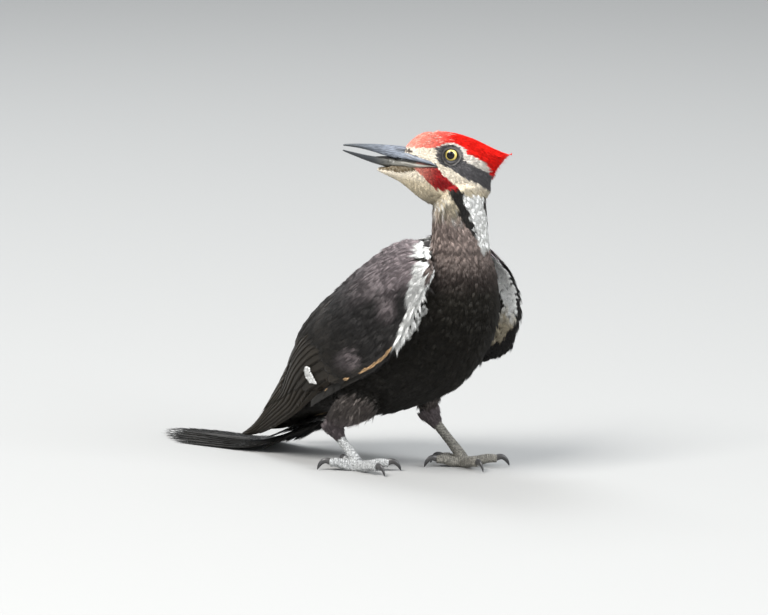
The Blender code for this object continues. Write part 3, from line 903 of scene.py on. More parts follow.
apply_modifier(skin, "SMOOTH", factor=0.4, iterations=2)
apply_modifier(skin, "DECIMATE", ratio=SKIN_KEEP)
skin_points = vertices(skin)
skin_zone = zones(skin_points)
skin_colours = plumage(skin_points, skin_zone) * SKIN_SHADE
rear_wing = np.char.endswith(skin_zone.astype(str), "_wing") & (skin_points[:, 1] > UNDER_FLIGHT)
skin_colours[rear_wing] = WING_BROWN * 0.5
f, _, _, level = head_view(skin_points)
# Painted shade: the skin in the mouth's slit is black.
skin_colours[(f > 9.0) & (level < -10.8) & (level > -15.0)] = MOUTH_SHADE
paint(skin, skin_colours)
select_only(skin)
bpy.ops.object.shade_smooth()
print("skin triangles:", sum(len(p.vertices) - 2 for p in skin.data.polygons))

# %% Unwrap the skin
select_only(skin)
bpy.ops.object.mode_set(mode="EDIT")
bpy.ops.mesh.select_all(action="SELECT")
bpy.ops.uv.smart_project(angle_limit=math.radians(70.0), island_margin=0.004)
bpy.ops.object.mode_set(mode="OBJECT")
skin.data.uv_layers[0].name = "OFBake"

# %% [markdown]
# ## Feather patterns
# Three small patterns make the whole coat. A strand is a thin three-sided spindle: a ring of
# three points, extruded from station to station and merged to a point at both ends. A tuft is
# a fan of strands, as a body feather looks when its loose barbs have parted. Short tufts
# clothe the face, broad ones the body and wings, and long narrow ones the crest and the edges.

# %% Loft by extruding a ring
def loft(name, sides, stations, turn=0.0):
    """A closed skin along X. Stations: place, top, bottom, half width. Ends merge to points."""
    place, top, bottom, wide = stations[0]
    select_none()
    quarter = math.pi / 2
    bpy.ops.mesh.primitive_circle_add(vertices=sides, radius=1.0, rotation=(quarter, turn, quarter))
    piece = bpy.context.active_object
    piece.name = name
    bpy.ops.object.transform_apply(location=False, rotation=True, scale=False)
    bpy.ops.object.mode_set(mode="EDIT")
    bpy.ops.mesh.select_all(action="SELECT")
    size = (wide, (top - bottom) / 2)
    centre = Vector((place, 0.0, (top + bottom) / 2))
    bpy.ops.transform.resize(value=(1.0, size[0], size[1]), center_override=(0, 0, 0))
    bpy.ops.transform.translate(value=centre)
    for place, top, bottom, wide in stations[1:]:
        bpy.ops.mesh.extrude_region_move()
        goal = Vector((place, 0.0, (top + bottom) / 2))
        bpy.ops.transform.translate(value=goal - centre)
        new = (wide, (top - bottom) / 2)
        ratio = (1.0, new[0] / size[0], new[1] / size[1])
        bpy.ops.transform.resize(value=ratio, center_override=goal)
        centre, size = goal, new
    bpy.ops.mesh.merge(type="CENTER")
    bpy.ops.mesh.select_all(action="DESELECT")
    bpy.ops.object.mode_set(mode="OBJECT")
    first = [v.index for v in piece.data.vertices if abs(v.co.x - stations[0][0]) < 1e-3]
    for index in first[:sides]:
        piece.data.vertices[index].select = True
    bpy.ops.object.mode_set(mode="EDIT")
    bpy.ops.mesh.merge(type="CENTER")
    face_outward(piece)
    return piece


def fan(name, single, count, spread, uneven):
    """Copies of a strand turned about their shared root, joined into one tuft."""
    rng = np.random.default_rng(len(name))
    copies = []
    for i in range(count):
        share = 2 * i / (count - 1) - 1
        copy = bpy.data.objects.new(name, single.data.copy())
        scene.collection.objects.link(copy)
        reach = 1.0 - 0.22 * share * share - uneven * rng.random()
        slide = Matrix.Translation((0.0, 0.10 * share, 0.012 * ((i * 2) % 3 - 1)))
        spin = Matrix.Rotation(math.radians(spread * share), 4, "Z")
        copy.data.transform(slide @ spin @ Matrix.Scale(reach, 4, (1, 0, 0)))
        copies.append(copy)
    select_only(*copies)
    bpy.ops.object.join()
    made = bpy.context.active_object
    bpy.data.objects.remove(single, do_unlink=True)
    return made


def pattern(piece, strands):
    """Vertices, triangles and strand numbers of a pattern, which then leaves the scene."""
    apply_modifier(piece, "TRIANGULATE")
    points = vertices(piece) * MM
    faces = np.array([p.vertices[:] for p in piece.data.polygons], int)
    bpy.data.objects.remove(piece, do_unlink=True)
    return points, faces, np.arange(len(points)) * strands // len(points)


def strand(name, broad, thick, stations=(0.4,)):
    """One thin spindle, a little thinner at each station after the first."""
    rows = [(0.0, 0.02, -0.02, 0.02)]
    for i, x in enumerate(stations):
        swell = 1.0 - 0.25 * i
        rows.append((x, thick * swell, -thick * swell, broad * swell))
    rows.append((1.0, 0.02, -0.02, 0.02))
    return loft(name, 3, rows)


SHORT = pattern(fan("short_tuft", strand("short_strand", 0.085, 0.05), 5, 22.0, 0.10), 5)
TUFT = pattern(fan("body_tuft", strand("body_strand", 0.085, 0.04), 7, 24.0, 0.16), 7)
LONG = pattern(fan("long_tuft", strand("long_strand", 0.06, 0.03, (0.3, 0.7)), 4, 12.0, 0.18), 4)
for word, shape in (("short", SHORT), ("tuft", TUFT), ("long", LONG)):
    print(word, "pattern:", len(shape[1]), "triangles, reach", shape[0].max(0).round(2))

# %% [markdown]
# ## Planting
# Roots are scattered evenly over a part of the skin. Each feather's root, direction, size,
# lift and colour are worked out for all at once with arrays, and the copies are written as
# one joined mesh, split where it would pass the limit on triangles. A feather hugs the body
# by bending down along its length. Its bake map is a tiny patch at its root's place on the
# skin's own unwrap.

# %% Skin lookups
skin_mesh = skin.data
skin_tree = BVHTree.FromObject(skin, bpy.context.evaluated_depsgraph_get())
skin_uv = np.zeros(len(skin_mesh.loops) * 2)
skin_mesh.uv_layers["OFBake"].data.foreach_get("uv", skin_uv)
skin_uv = skin_uv.reshape(-1, 2)
face_uv = np.array([skin_uv[list(p.loop_indices)].mean(0) for p in skin_mesh.polygons])
PATCH = 0.003                  # a feather's share of its bake map
TRIANGLE_LIMIT = 190000        # in one piece
TRIES = 6                      # random roots for each one wanted
CROWDING = 0.82                # the nearest that two roots may lie, against their spacing


def on_skin(points):
    """Nearest place on the skin, its normal and its bake position."""
    spots = np.zeros((len(points), 3))
    ups = np.zeros((len(points), 3))
    maps = np.zeros((len(points), 2))
    for i, point in enumerate(points):
        spot, normal, face, _ = skin_tree.find_nearest(Vector(point) * MM)
        spots[i] = spot
        ups[i] = normal
        maps[i] = face_uv[face]
    return spots / MM, ups, maps


def scatter(chosen, spacing, seed):
    """Evenly spread points over the skin's chosen faces (their indices)."""
    rng = np.random.default_rng(seed)
    skin_mesh.calc_loop_triangles()
    count = len(skin_mesh.loop_triangles)
    tri = np.zeros(count * 3, int)
    owner = np.zeros(count, int)
    skin_mesh.loop_triangles.foreach_get("vertices", tri)
    skin_mesh.loop_triangles.foreach_get("polygon_index", owner)
    tri = tri.reshape(-1, 3)[np.isin(owner, chosen)]
    points = vertices(skin)
    p, q, r = (points[tri[:, k]] for k in range(3))
    area = np.linalg.norm(np.cross(q - p, r - p), axis=1) / 2
    tries = int(area.sum() / spacing ** 2 * TRIES)
    pick = rng.choice(len(tri), tries, p=area / area.sum())
    u, v = rng.random((2, tries))
    flip = u + v > 1
    u[flip], v[flip] = 1 - u[flip], 1 - v[flip]
    spots = p[pick] + (q - p)[pick] * u[:, None] + (r - p)[pick] * v[:, None]
    return thin_out(spots, spacing)


def thin_out(spots, spacing):
    """Keep points in order, dropping any that is too near one already kept."""
    cells = {}
    kept = []
    gap = (spacing * CROWDING) ** 2
    reach = range(-1, 2)
    for index, spot in enumerate(spots):
        key = tuple((spot // spacing).astype(int))
        clear = True
        for dx in reach:
            for dy in reach:
                for dz in reach:
                    for other in cells.get((key[0] + dx, key[1] + dy, key[2] + dz), ()):
                        if ((spot - other) ** 2).sum() < gap:
                            clear = False
        if clear:
            cells.setdefault(key, []).append(spot)
            kept.append(index)
    return spots[kept]


def build_mesh(name, points, faces, colours, maps, vane):
    """One mesh from arrays: triangles, a colour and a vane place at each vertex, a bake map."""
    mesh = bpy.data.meshes.new(name)
    mesh.vertices.add(len(points))
    mesh.vertices.foreach_set("co", (points * MM).astype(np.float32).ravel())
    mesh.loops.add(faces.size)
    mesh.loops.foreach_set("vertex_index", faces.astype(np.int32).ravel())
    mesh.polygons.add(len(faces))
    mesh.polygons.foreach_set("loop_start", np.arange(0, faces.size, 3, dtype=np.int32))
    mesh.update(calc_edges=True)
    mesh.validate()
    mesh.polygons.foreach_set("use_smooth", np.ones(len(mesh.polygons), bool))
    piece = bpy.data.objects.new(name, mesh)
    scene.collection.objects.link(piece)
    layer = mesh.uv_layers.new(name="OFBake")
    layer.data.foreach_set("uv", maps[faces.ravel()].astype(np.float32).ravel())
    paint(piece, colours)
    mark_places(piece, vane, "Vane")
    return piece


FLOOR_GAP = 0.1                # no feather comes nearer to the floor, in mm
BRIGHTEST = 0.88
CALM = 0.85                    # share of the variation that near-white feathers lose
CALM_FROM = 0.35
CALM_TO = 0.7


def plant(name, shape, roots, ahead, facing, length, width, colours, maps=None, lift=6.0, bend=0.0,
          thick=1.0, tone=(0.8, 1.15), vary=0.12, streak=0.22, seed=1):
    """Copies of a pattern on their roots, as one or more joined meshes.

    lift is in degrees and bend in mm at the tip; tone runs from root to tip, and vary and
    streak are the random shares by which whole feathers and single strands differ.
    """
    rng = np.random.default_rng(seed)
    count = len(roots)
    points, faces, strands = shape
    if maps is None:
        maps = on_skin(roots)[2]
    colours = np.broadcast_to(colours, (count, 3))
    length = np.broadcast_to(length, count) * (1 + 0.12 * rng.standard_normal(count).clip(-2, 2))
    width = np.broadcast_to(width, count) * (1 + 0.10 * rng.standard_normal(count).clip(-2, 2))
    rise = np.radians(np.broadcast_to(lift, count) * (0.6 + 0.8 * rng.random(count)))
    bend = np.broadcast_to(bend, count)
    side = unit(np.cross(facing, ahead))
    ahead = unit(np.cross(side, facing))
    x, y, z = (points[None, :, k, None] for k in range(3))
    long = length[:, None, None]
    up = facing[:, None, :]
    made = (roots[:, None, :]
            + ahead[:, None, :] * x * long * np.cos(rise)[:, None, None]
            + up * (x * long * np.sin(rise)[:, None, None] - bend[:, None, None] * x * x)
            + up * z * width[:, None, None] * thick
            + side[:, None, :] * y * width[:, None, None])
    made[:, :, 2] = np.maximum(made[:, :, 2], FLOOR_GAP)
    even = 1.0 - CALM * step(colours.mean(1), CALM_FROM, CALM_TO)[:, None, None]
    tint = colours[:, None, :] * (1.0 + even * (tone[0] - 1.0 + (tone[1] - tone[0]) * x))
    tint = tint * (1 + vary * even * (2 * rng.random((count, 1, 1)) - 1))
    streaks = 1 + streak * even[:, :, 0] * (2 * rng.random((count, strands.max() + 1)) - 1)
    tint = (tint * streaks[:, strands][:, :, None]).clip(0.0, BRIGHTEST)
    uv = maps[:, None, :] + (points[None, :, :2] - (0.5, 0.0)) * PATCH
    pieces = []
    parts = max(1, math.ceil(count * len(faces) / TRIANGLE_LIMIT))
    order = np.argsort(roots[:, 2], kind="stable")
    for part, chosen in enumerate(np.array_split(order, parts)):
        starts = np.arange(len(chosen))[:, None, None] * len(points)
        index = (faces[None] + starts).reshape(-1, 3)
        title = name if parts == 1 else "%s_%d" % (name, part + 1)
        pieces.append(build_mesh(title, made[chosen].reshape(-1, 3), index,
                                 tint[chosen].reshape(-1, 3), uv[chosen].reshape(-1, 2),
                                 np.tile(points, (len(chosen), 1))))
    print(name, count, "feathers,", count * len(faces), "triangles,", parts, "pieces")
    return pieces


# %% The lie of the coat
CREST_REAR = [(-18, -33.5), (-11, -38.6), (-3, -41.5), (4, -46), (9, -50)]


def lie(points, facing, zone):
    """The direction in which the feathers lie at each point, along the surface."""
    f, s, _, w = head_view(points)
    drop = step(-w, 0.0, 26.0) * 0.85
    head = np.stack([-np.ones(len(points)), np.zeros(len(points)), -drop], 1)
    cap = step(w - along(CAP_EDGE, f), -1.0, 3.0)
    fall = np.interp(w, (-8.0, 12.0), (-0.85, -0.22)) * step(-f, -10.0, 20.0)
    swept = unit(np.stack([-np.ones(len(points)), -0.02 * s, fall], 1))
    head = unit(head) * (1 - cap[:, None]) + swept * cap[:, None]
    head = head @ HEAD_AXES
    turn, twist = neck_turn(points)
    angle = np.radians(turn + twist)
    sweep = 0.40 * step(points[:, 2], 150.0, 185.0)
    neck = np.stack([np.cos(angle) * sweep, -np.sin(angle) * sweep, -np.ones(len(points))], 1)
    _, tangent = spine_frame(points)
    outward = np.sign(points[:, 0] + CENTRE[0]) * 0.16
    trunk = np.stack([outward, tangent[:, 0], tangent[:, 1]], 1)
    neck_share = step(points[:, 2], 160.0, 190.0)[:, None]
    chosen = trunk * (1 - neck_share) + neck * neck_share
    is_head = np.isin(zone, ("head", "crest"))
    head_share = np.where(is_head, 1.0, step(w, -40.0, -27.0) * (zone == "neck"))[:, None]
    head_share = head_share * (1 - step(-w, 26.0, 36.0)[:, None])
    chosen = unit(chosen) * (1 - head_share) + unit(head) * head_share
    chosen[zone == "right_thigh"] = (-0.25, 0.55, -0.8)
    chosen[zone == "left_thigh"] = (0.25, 0.1, -0.95)
    flat = chosen - facing * (chosen * facing).sum(1, keepdims=True)
    return unit(flat)


def jitter(directions, facing, degrees, seed):
    """Directions turned a little at random about the surface's normal."""
    rng = np.random.default_rng(seed)
    turn = np.radians(degrees) * rng.standard_normal(len(directions)).clip(-2, 2)
    side = np.cross(facing, directions)
    return directions * np.cos(turn)[:, None] + side * np.sin(turn)[:, None]


face_zone = zones(np.array([p.center for p in skin_mesh.polygons]) / MM)
print({name: int((face_zone == name).sum()) for name in FLESH})

# %% [markdown]
# ## Plumage finishes
# A feather's colour is stored on its vertices. The finish adds what the eye sees close up:
# fine barbs that run out from the shaft, a little unevenness, and a silky surface. Black
# feathers are glossier than the powdery pale ones.

# %% Feather finish
def plumage_finish(name, roughness, specular, sheen):
    finish = Finish(name, Sheen_Weight=sheen, Sheen_Roughness=0.4, Specular_IOR_Level=specular)
    colour = finish.attribute("Colour")
    along_shaft, across, _ = finish.parts(finish.attribute("Vane", 1))
    barb = along_shaft * 34.0 - across.maths("ABSOLUTE") * 26.0
    ripple_line = barb.maths("SINE")
    mottle = finish.noise(finish.place(), 900.0, 2.0)
    tone = ripple_line * 0.07 + finish.spread(mottle, 0.3, 0.7, 0.84, 1.16)
    finish.set("Base Color", finish.shade(colour, tone))
    finish.set("Roughness", finish.spread(mottle, 0.3, 0.7, roughness - 0.08, roughness + 0.08))
    finish.bump(ripple_line, 0.00012, 0.35)
    return finish.material


DARK_FINISH = plumage_finish("dark_feather", 0.46, 0.20, 0.0)
PALE_FINISH = plumage_finish("pale_feather", 0.72, 0.2, 0.05)
RED_FINISH = plumage_finish("red_feather", 0.6, 0.10, 0.0)


def skin_finish():
    finish = Finish("skin_and_down", Roughness=0.8)
    colour = finish.attribute("Colour")
    down = finish.noise(finish.place(), 700.0)
    finish.set("Base Color", finish.shade(colour, finish.spread(down, 0.3, 0.7, 0.75, 1.1)))
    finish.bump(down, 0.0004, 0.6)
    return finish.material


def dress(pieces, finish, slot, *nodes):
    """Give pieces their finish and body, and hide the nodes they stand for; slot is not used."""
    for piece in pieces:
        piece.data.materials.clear()
        piece.data.materials.append(finish)
        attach(piece, "root")
        if nodes:
            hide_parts(*nodes)


dress([skin], skin_finish(), "dark_plumage", *FLESH)

# %% [markdown]
# ## Body coat
# The breast, belly, back and thighs wear loose body feathers, the neck shorter ones and the
# face the shortest. Where a wing covers the flank nothing is planted, because nothing shows.

# %% Places without feathers
EYE_CLEAR = 6.4                # mm round the eye's middle without feathers
WING_SHADOW = 9.0              # mm under a wing where nothing is planted
COLOUR_AT = 0.45               # a feather takes the colour of the place this far along it
wing_tree, _ = tree_of(["right_wing", "left_wing"])


def bare(points, facing, zone):
    """Points on the bill, round the eyes, or hidden under a wing."""
    f, s, u, w = head_view(points)
    horn = is_horn(f, w) | ((f > 43) & (w > along(HORN_FOOT, f)))
    eye = (np.hypot(f, u) < EYE_CLEAR) & (np.abs(s) > 6)
    found = np.isin(zone, ("head", "crest")) & (horn | eye)
    for i in np.flatnonzero(np.isin(zone, ("trunk", "right_thigh", "left_thigh"))):
        hit = wing_tree.ray_cast(Vector(points[i]), Vector(facing[i]))[3]
        found[i] = found[i] or (hit is not None and hit < WING_SHADOW)
    return found


def coat(name, parts, spacing, seed, shape, length, width, finish, slot, keep=None, swing=9.0,
         aim=None, **settings):
    """Scatter roots over parts of the skin, plant a pattern there and dress it."""
    chosen = np.flatnonzero(np.isin(face_zone, parts))
    roots = scatter(chosen, spacing, seed)
    spots, facing, maps = on_skin(roots)
    zone = zones(spots)
    open_skin = ~bare(spots, facing, zone)
    if keep is not None:
        open_skin &= keep(spots)
    spots, facing, maps, zone = (v[open_skin] for v in (spots, facing, maps, zone))
    way = lie(spots, facing, zone)
    if aim is not None:
        way = aim(spots, way)
    ahead = jitter(way, facing, swing, seed)
    reach = length(spots) if callable(length) else length
    broad = width(spots) if callable(width) else width
    colours = plumage(spots + ahead * np.reshape(reach, (-1, 1)) * COLOUR_AT, zone)
    made = plant(name, shape, spots, ahead, facing, reach, broad, colours, maps, seed=seed, **settings)
    dress(made, finish, slot)


# %% Trunk and thighs
def breast_reach(points):
    """Feather length by height: longest on the belly."""
    return np.interp(points[:, 2], (60, 120, 170, 190), (14.0, 13.5, 11.0, 9.0))


def clear_of_crease(points):
    """False in the crease between the right shoulder and the neck."""
    return near_line(points, CREASE) > 1.0


coat("coat_trunk", ["trunk"], 1.9, 11, TUFT, breast_reach, 5.6, DARK_FINISH, "black_plumage",
     keep=clear_of_crease, lift=8.0, bend=0.8, tone=(0.72, 1.3), vary=0.2, streak=0.4)


def thigh_reach(points):
    return np.interp(points[:, 2], (32, 40, 50), (5.0, 8.0, 11.5))


coat("coat_thighs", ["right_thigh", "left_thigh"], 1.9, 12, TUFT, thigh_reach, 4.2, DARK_FINISH,
     "dark_plumage", lift=11.0, bend=0.3, tone=(0.7, 1.5), vary=0.2, streak=0.45)


def on_thigh_front(points):
    return (points[:, 1] < -50.0) & (points[:, 2] < 66.0)


coat("coat_wisps", ["right_thigh"], 3.4, 16, LONG, 14.0, 3.0, DARK_FINISH, "dark_plumage",
     keep=on_thigh_front, swing=22.0, lift=15.0, bend=2.2, tone=(1.0, 2.6), vary=0.4, streak=0.6)

# %% Cuffs over the tops of the shanks
CUFF_ROWS = 11
CUFF_AROUND = 22
CUFF_TOP = -11.0               # mm along the shank from its upper end
CUFF_STEP = 1.5


def shank_ends(side):
    """The middles of a shank's upper end and of the ball of the foot."""
    shank = corners(side + "_shank")
    z = shank[:, 2]
    return shank[z > z.max() - 5.0].mean(0), shank[z < 6.0].mean(0)


for n, side in enumerate(SIDES):
    top, ball = shank_ends(side)
    axis = (ball - top) / np.linalg.norm(ball - top)
    first = unit(np.cross(axis[None], np.array(((0.0, 1.0, 0.0),))))[0]
    second = np.cross(axis, first)
    row, turn = (grid.ravel() for grid in np.meshgrid(np.arange(CUFF_ROWS), np.arange(CUFF_AROUND)))
    turn = turn * 2 * math.pi / CUFF_AROUND + row * 0.5
    facing = np.cos(turn)[:, None] * first + np.sin(turn)[:, None] * second
    radius = np.interp(row, (0, 4, 10), (9.0, 6.6, 3.9))
    roots = top + axis * (row * CUFF_STEP + CUFF_TOP)[:, None] + facing * radius[:, None]
    ahead = jitter(unit(axis - facing * 0.25), facing, 8.0, 17 + n)
    # The cuffs take the painted sheen grey, darkened.
    made = plant("coat_cuff_" + side, TUFT, roots, ahead, facing, 9.0 - 0.4 * row, 3.4,
                 PAINTED_SHEEN_GREY * 0.6, lift=3.0, bend=0.8, tone=(0.7, 1.5), vary=0.2, streak=0.4,
                 seed=17 + n)
    dress(made, DARK_FINISH, "dark_plumage")

# %% Neck
def throat_share(points):
    """How far a point of the neck belongs to the loose throat, from 0 to 1."""
    turn, _ = neck_turn(points)
    return step(-np.abs(turn), -75.0, -35.0) * step(points[:, 2], 192.0, 206.0)


coat("coat_neck", ["neck"], 1.65, 13, TUFT, lambda p: 9.0 + 4.0 * throat_share(p), 4.4,
     PALE_FINISH, "dark_plumage", lift=5.0, bend=0.4, thick=0.7, tone=(0.78, 1.15), vary=0.15,
     streak=0.35)

# %% Face
def face_reach(points):
    """Short feathers near the bill and the eye, longer ones toward the neck."""
    f, _, u, _ = head_view(points)
    from_bill = 36.0 - f
    from_eye = np.hypot(f, u) - EYE_CLEAR
    return np.minimum(np.interp(from_bill, (0, 8, 30, 60), (2.4, 3.8, 6.0, 8.0)),
                      np.interp(from_eye, (0, 4, 10), (2.6, 4.4, 8.0)))


coat("coat_face", ["head"], 1.1, 14, SHORT, face_reach, lambda p: face_reach(p) * 0.36,
     PALE_FINISH, "cream_plumage", lift=6.0, bend=0.2, tone=(0.86, 1.1), vary=0.10, streak=0.16,
     swing=8.0)

# %% Crest
def crest_reach(points):
    """Longer feathers toward the rear, but none much past the crest's rear edge."""
    f, _, u, _ = head_view(points)
    longest = np.interp(-f, (-30, -14, -8, 5, 22), (2.6, 3.0, 4.6, 11.0, 17.0))
    room = f - along(CREST_REAR, u - 5.0) + 5.0 * step(-u, 2.0, 12.0)
    return np.clip(room, 2.5, longest)


coat("coat_crest", ["crest"], 1.05, 15, LONG, crest_reach, lambda p: crest_reach(p) * 0.28,
     RED_FINISH, "red_plumage", lift=2.5, bend=0.4, tone=(0.88, 1.12), vary=0.12, streak=0.14,
     swing=3.5)

# %% [markdown]
# ## Wings
# A folded wing is a stack. The primaries lie lowest and reach the tip, the secondaries and
# tertials cover them, and the coverts overlap like tiles over all their roots. Each long
# feather is a closed strip along a line on the wing's chart, at its own height in the stack,
# and leans on the one below it.

# %% One long feather
RING = np.array([(-1.0, 0.0), (-0.55, 0.04), (0.0, 0.07), (0.55, 0.04), (1.0, 0.0), (0.0, -0.05)])
TILT = 0.26                    # each feather leans on the one below it, like a tile
FEATHER_ROWS = 30


def outline(t, tip):
    """Share of the full width along a feather, for a round or a pointed tip."""
    root = np.minimum(1.0, 0.3 + 3.2 * t)
    if tip == "round":
        end = np.sqrt(np.clip(1.0 - (np.clip(t - 0.80, 0, 1) / 0.20) ** 2, 0.0, 1.0))
    else:
        end = 1.0 - np.clip((t - 0.52) / 0.48, 0, 1) ** 1.35 * 0.95
    return np.maximum(root * end, 0.03)


def long_feather(width, height, tip, seed, shaft=0.0):
    """Shares along one feather, and its rings' distances across and heights."""
    rng = np.random.default_rng(seed)
    t = np.linspace(0.0, 1.0, FEATHER_ROWS) ** 0.85
    half = (width / 2 * outline(t, tip))[:, None]
    fray = 1.0 + 0.05 * rng.standard_normal((FEATHER_ROWS, len(RING))).clip(-1.5, 1.5)
    across = (RING[:, 0] * fray + shaft * (1 - np.abs(RING[:, 0]))) * half
    root = 1.0 - step(t, 0.0, 0.30)[:, None]
    lean = TILT * RING[:, 0] * np.clip(half / 6.0, 0.0, 1.0)
    return t, across, height - root + lean + RING[:, 1] * np.clip(half / 3.0, 0.2, 1.0)


def ring_faces(rows, sides):
    """Triangles of a closed run of rings, with a fan at both ends."""
    faces = []
    for i in range(rows - 1):
        for k in range(sides):
            n = (k + 1) % sides
            low, high = i * sides, (i + 1) * sides
            faces += [(low + k, low + n, high + n), (low + k, high + n, high + k)]
    for k in range(1, sides - 1):
        faces.append((0, k + 1, k))
        last = (rows - 1) * sides
        faces.append((last, last + k, last + k + 1))
    return np.array(faces)


def join_feathers(name, feathers):
    """One piece from many long feathers: points, colours and shares along, for each."""
    sets = [[], [], [], [], []]
    start = 0
    count = len(feathers)
    for i, (points, colours, t) in enumerate(feathers):
        rows, sides = points.shape[:2]
        faces = ring_faces(rows, sides)
        flat = points.reshape(-1, 3)
        first = np.cross(flat[faces[:, 1]] - flat[faces[:, 0]], flat[faces[:, 2]] - flat[faces[:, 0]])
        away = flat[faces].mean(1) - np.repeat(points.mean(1), sides, 0)[faces[:, 0]]
        if (first * away).sum() < 0:
            faces = faces[:, ::-1]
        where = np.broadcast_to(t[:, None], (rows, sides)).ravel()
        side = np.tile(RING[:, 0], rows)
        sets[0].append(flat)
        sets[1].append(faces + start)
        sets[2].append(colours.reshape(-1, 3))
        sets[3].append(np.stack([(i + 0.5 + 0.42 * side) / count, 0.02 + 0.96 * where], 1))
        sets[4].append(np.stack([np.full(len(side), 0.5), side * 0.5, np.zeros(len(side))], 1))
        start += len(flat)
    joined = [np.concatenate(part) for part in sets]
    print(name, count, "long feathers,", len(joined[1]), "triangles")
    return build_mesh(name, *joined)


# %% Flight feathers
WING_RIM = 0.985               # how far across the chart feathers may reach
TIP_OLIVE = np.array((0.16, 0.12, 0.045))
FLIGHT = [  # name, count, roots along, roots across, tips along, tips across, width, heights
    ("primary", 10, (0.48, 0.40), (0.915, 0.60),
     (0.84, 0.90, 0.95, 0.985, 1.0, 0.98, 0.95, 0.92, 0.89, 0.86),
     (0.90, 0.84, 0.75, 0.66, 0.55, 0.44, 0.36, 0.29, 0.23, 0.18), 12.0, (-0.7, 0.05)),
    ("secondary", 9, (0.40, 0.28), (0.88, 0.40), (0.64, 0.84), (0.86, 0.14), 14.0, (0.05, 0.7)),
    ("tertial", 5, (0.26, 0.18), (0.46, 0.10), (0.80, 0.56), (0.22, 0.02), 17.0, (1.0, 1.4)),
    ("greater", 13, (0.30, 0.16), (0.95, 0.14), (0.56, 0.47), (0.93, 0.10), 14.0, (1.1, 1.4)),
]


def wing_feathers(side):
    """All the long feathers of one wing as one piece."""
    chart = CHARTS[side]
    made = []
    seed = 100 if side == "right" else 200
    for word, count, root_a, root_b, tip_a, tip_b, width, heights in FLIGHT:
        primary = word == "primary"
        for i in range(count):
            seed += 1
            share = i / (count - 1)
            from_a, from_b, to_a, to_b, height = (
                np.interp(share, np.linspace(0, 1, len(ends)), ends)
                for ends in (root_a, root_b, tip_a, tip_b, heights))
            t, across, raise_by = long_feather(width, height, "round", seed, -0.3 if primary else 0.0)
            a = from_a + (to_a - from_a) * t
            b = from_b + (to_b - from_b) * t
            breadth = np.linalg.norm(chart.at(a, b + 0.05) - chart.at(a, b - 0.05), axis=1) * 10.0
            rows_a = np.repeat(a[:, None], len(RING), 1)
            rows_b = np.minimum(b[:, None] + across / breadth[:, None], WING_RIM)
            points = chart.at(rows_a, rows_b) + chart.normal(rows_a, rows_b) * raise_by[:, :, None]
            rng = np.random.default_rng(seed)
            base = wing_colours(chart.at(a, b), a, b)[:, None] * (0.85 + 0.3 * rng.random())
            tint = np.repeat(base, len(RING), 1)
            # Painted sheen and shade: one edge of each feather is lighter as sheen, the other darker as
            # the shade line where the feathers overlap, and the shaft is a little darker.
            tint[:, 4] *= 1.9 if primary else 1.5
            tint[:, 0] *= 0.7
            tint[:, 2] *= 0.8
            if primary and i == 0:
                low = 4 if (points[9, 4, 2] < points[9, 0, 2]) else 0
                rear = step(t, 0.75, 0.95)[:, None]
                tint[:, low] = tint[:, low] * (1 - rear) + TIP_OLIVE * rear
            made.append((points, tint, t))
    return join_feathers("flight_" + side, made)


for side in SIDES:
    dress([wing_feathers(side)], DARK_FINISH, "black_plumage", side + "_wing")


# %% Coverts, mantle and white band
def wing_roots(chart, spacing, seed, keep):
    """Places (a, b) spread evenly over the part of a wing's face where keep(a, b) is true."""
    a, b = np.random.default_rng(seed).random((2, 9000))
    a = a * 0.62
    chosen = keep(a, b)
    a, b = a[chosen], b[chosen]
    points = chart.at(a, b)
    kept = {tuple(p) for p in thin_out(points, spacing)}
    mask = np.array([tuple(p) in kept for p in points])
    return a[mask], b[mask], points[mask]


def mantle_edge(a):
    """How far across the wing the mantle feathers, grey with painted sheen, reach."""
    return np.interp(a, (0.0, 0.15, 0.3, 0.5), (1.1, 0.75, 0.52, 0.3))


WING_COLOUR_AT = 0.4
WING_SPACING = 2.1
WING_COATS = (  # name, kept roots, places along, lengths there, width, first seed, rise, settings
    ("coverts_", lambda a, b: (b > mantle_edge(a) - 0.08) & (a < 0.49) & (b < WING_RIM),
     (0, 0.12, 0.40), (10.0, 14.0, 20.0), 6.0, 31, 1.4, {"lift": 2.0, "bend": 0.4, "streak": 0.3}),
    ("mantle_", lambda a, b: (b < mantle_edge(a) + 0.04) & (a < 0.50) & (a > 0.025),
     (0, 0.1, 0.42), (10.0, 14.0, 20.0), 5.4, 41, 1.2, {"lift": 3.0, "bend": 0.7, "streak": 0.4}),
)
for n, side in enumerate(SIDES):
    chart = CHARTS[side]
    for name, keep, places, lengths, width, seed, rise, settings in WING_COATS:
        a, b, points = wing_roots(chart, WING_SPACING, seed + n, keep)
        facing = chart.normal(a, b)
        ahead = jitter(chart.run(a, b), facing, 6.0, seed + n)
        reach = np.interp(a, places, lengths)
        colours = wing_colours(points + ahead * reach[:, None] * WING_COLOUR_AT, a, b)
        made = plant(name + side, TUFT, points + facing * rise, ahead, facing, reach, width, colours,
                     vary=0.10, thick=0.5, seed=seed + n, **settings)
        dress(made, DARK_FINISH, "black_plumage", side + "_wing")

# Height and place along Y of the right wing's front edge.
WING_FRONT = [(105, -111), (117, -119), (132, -128), (150, -136), (165, -137), (175, -133)]


def in_band(points):
    """True on the white shoulder and bands, but not in the crease."""
    lines = (BAND["right"], BAND["left"], BAND_FRONT, SHOULDER)
    near = np.min([near_line(points, line) for line in lines], axis=0)
    return (near + 0.15 * ripple(points, 5.0) < 1.0) & clear_of_crease(points)


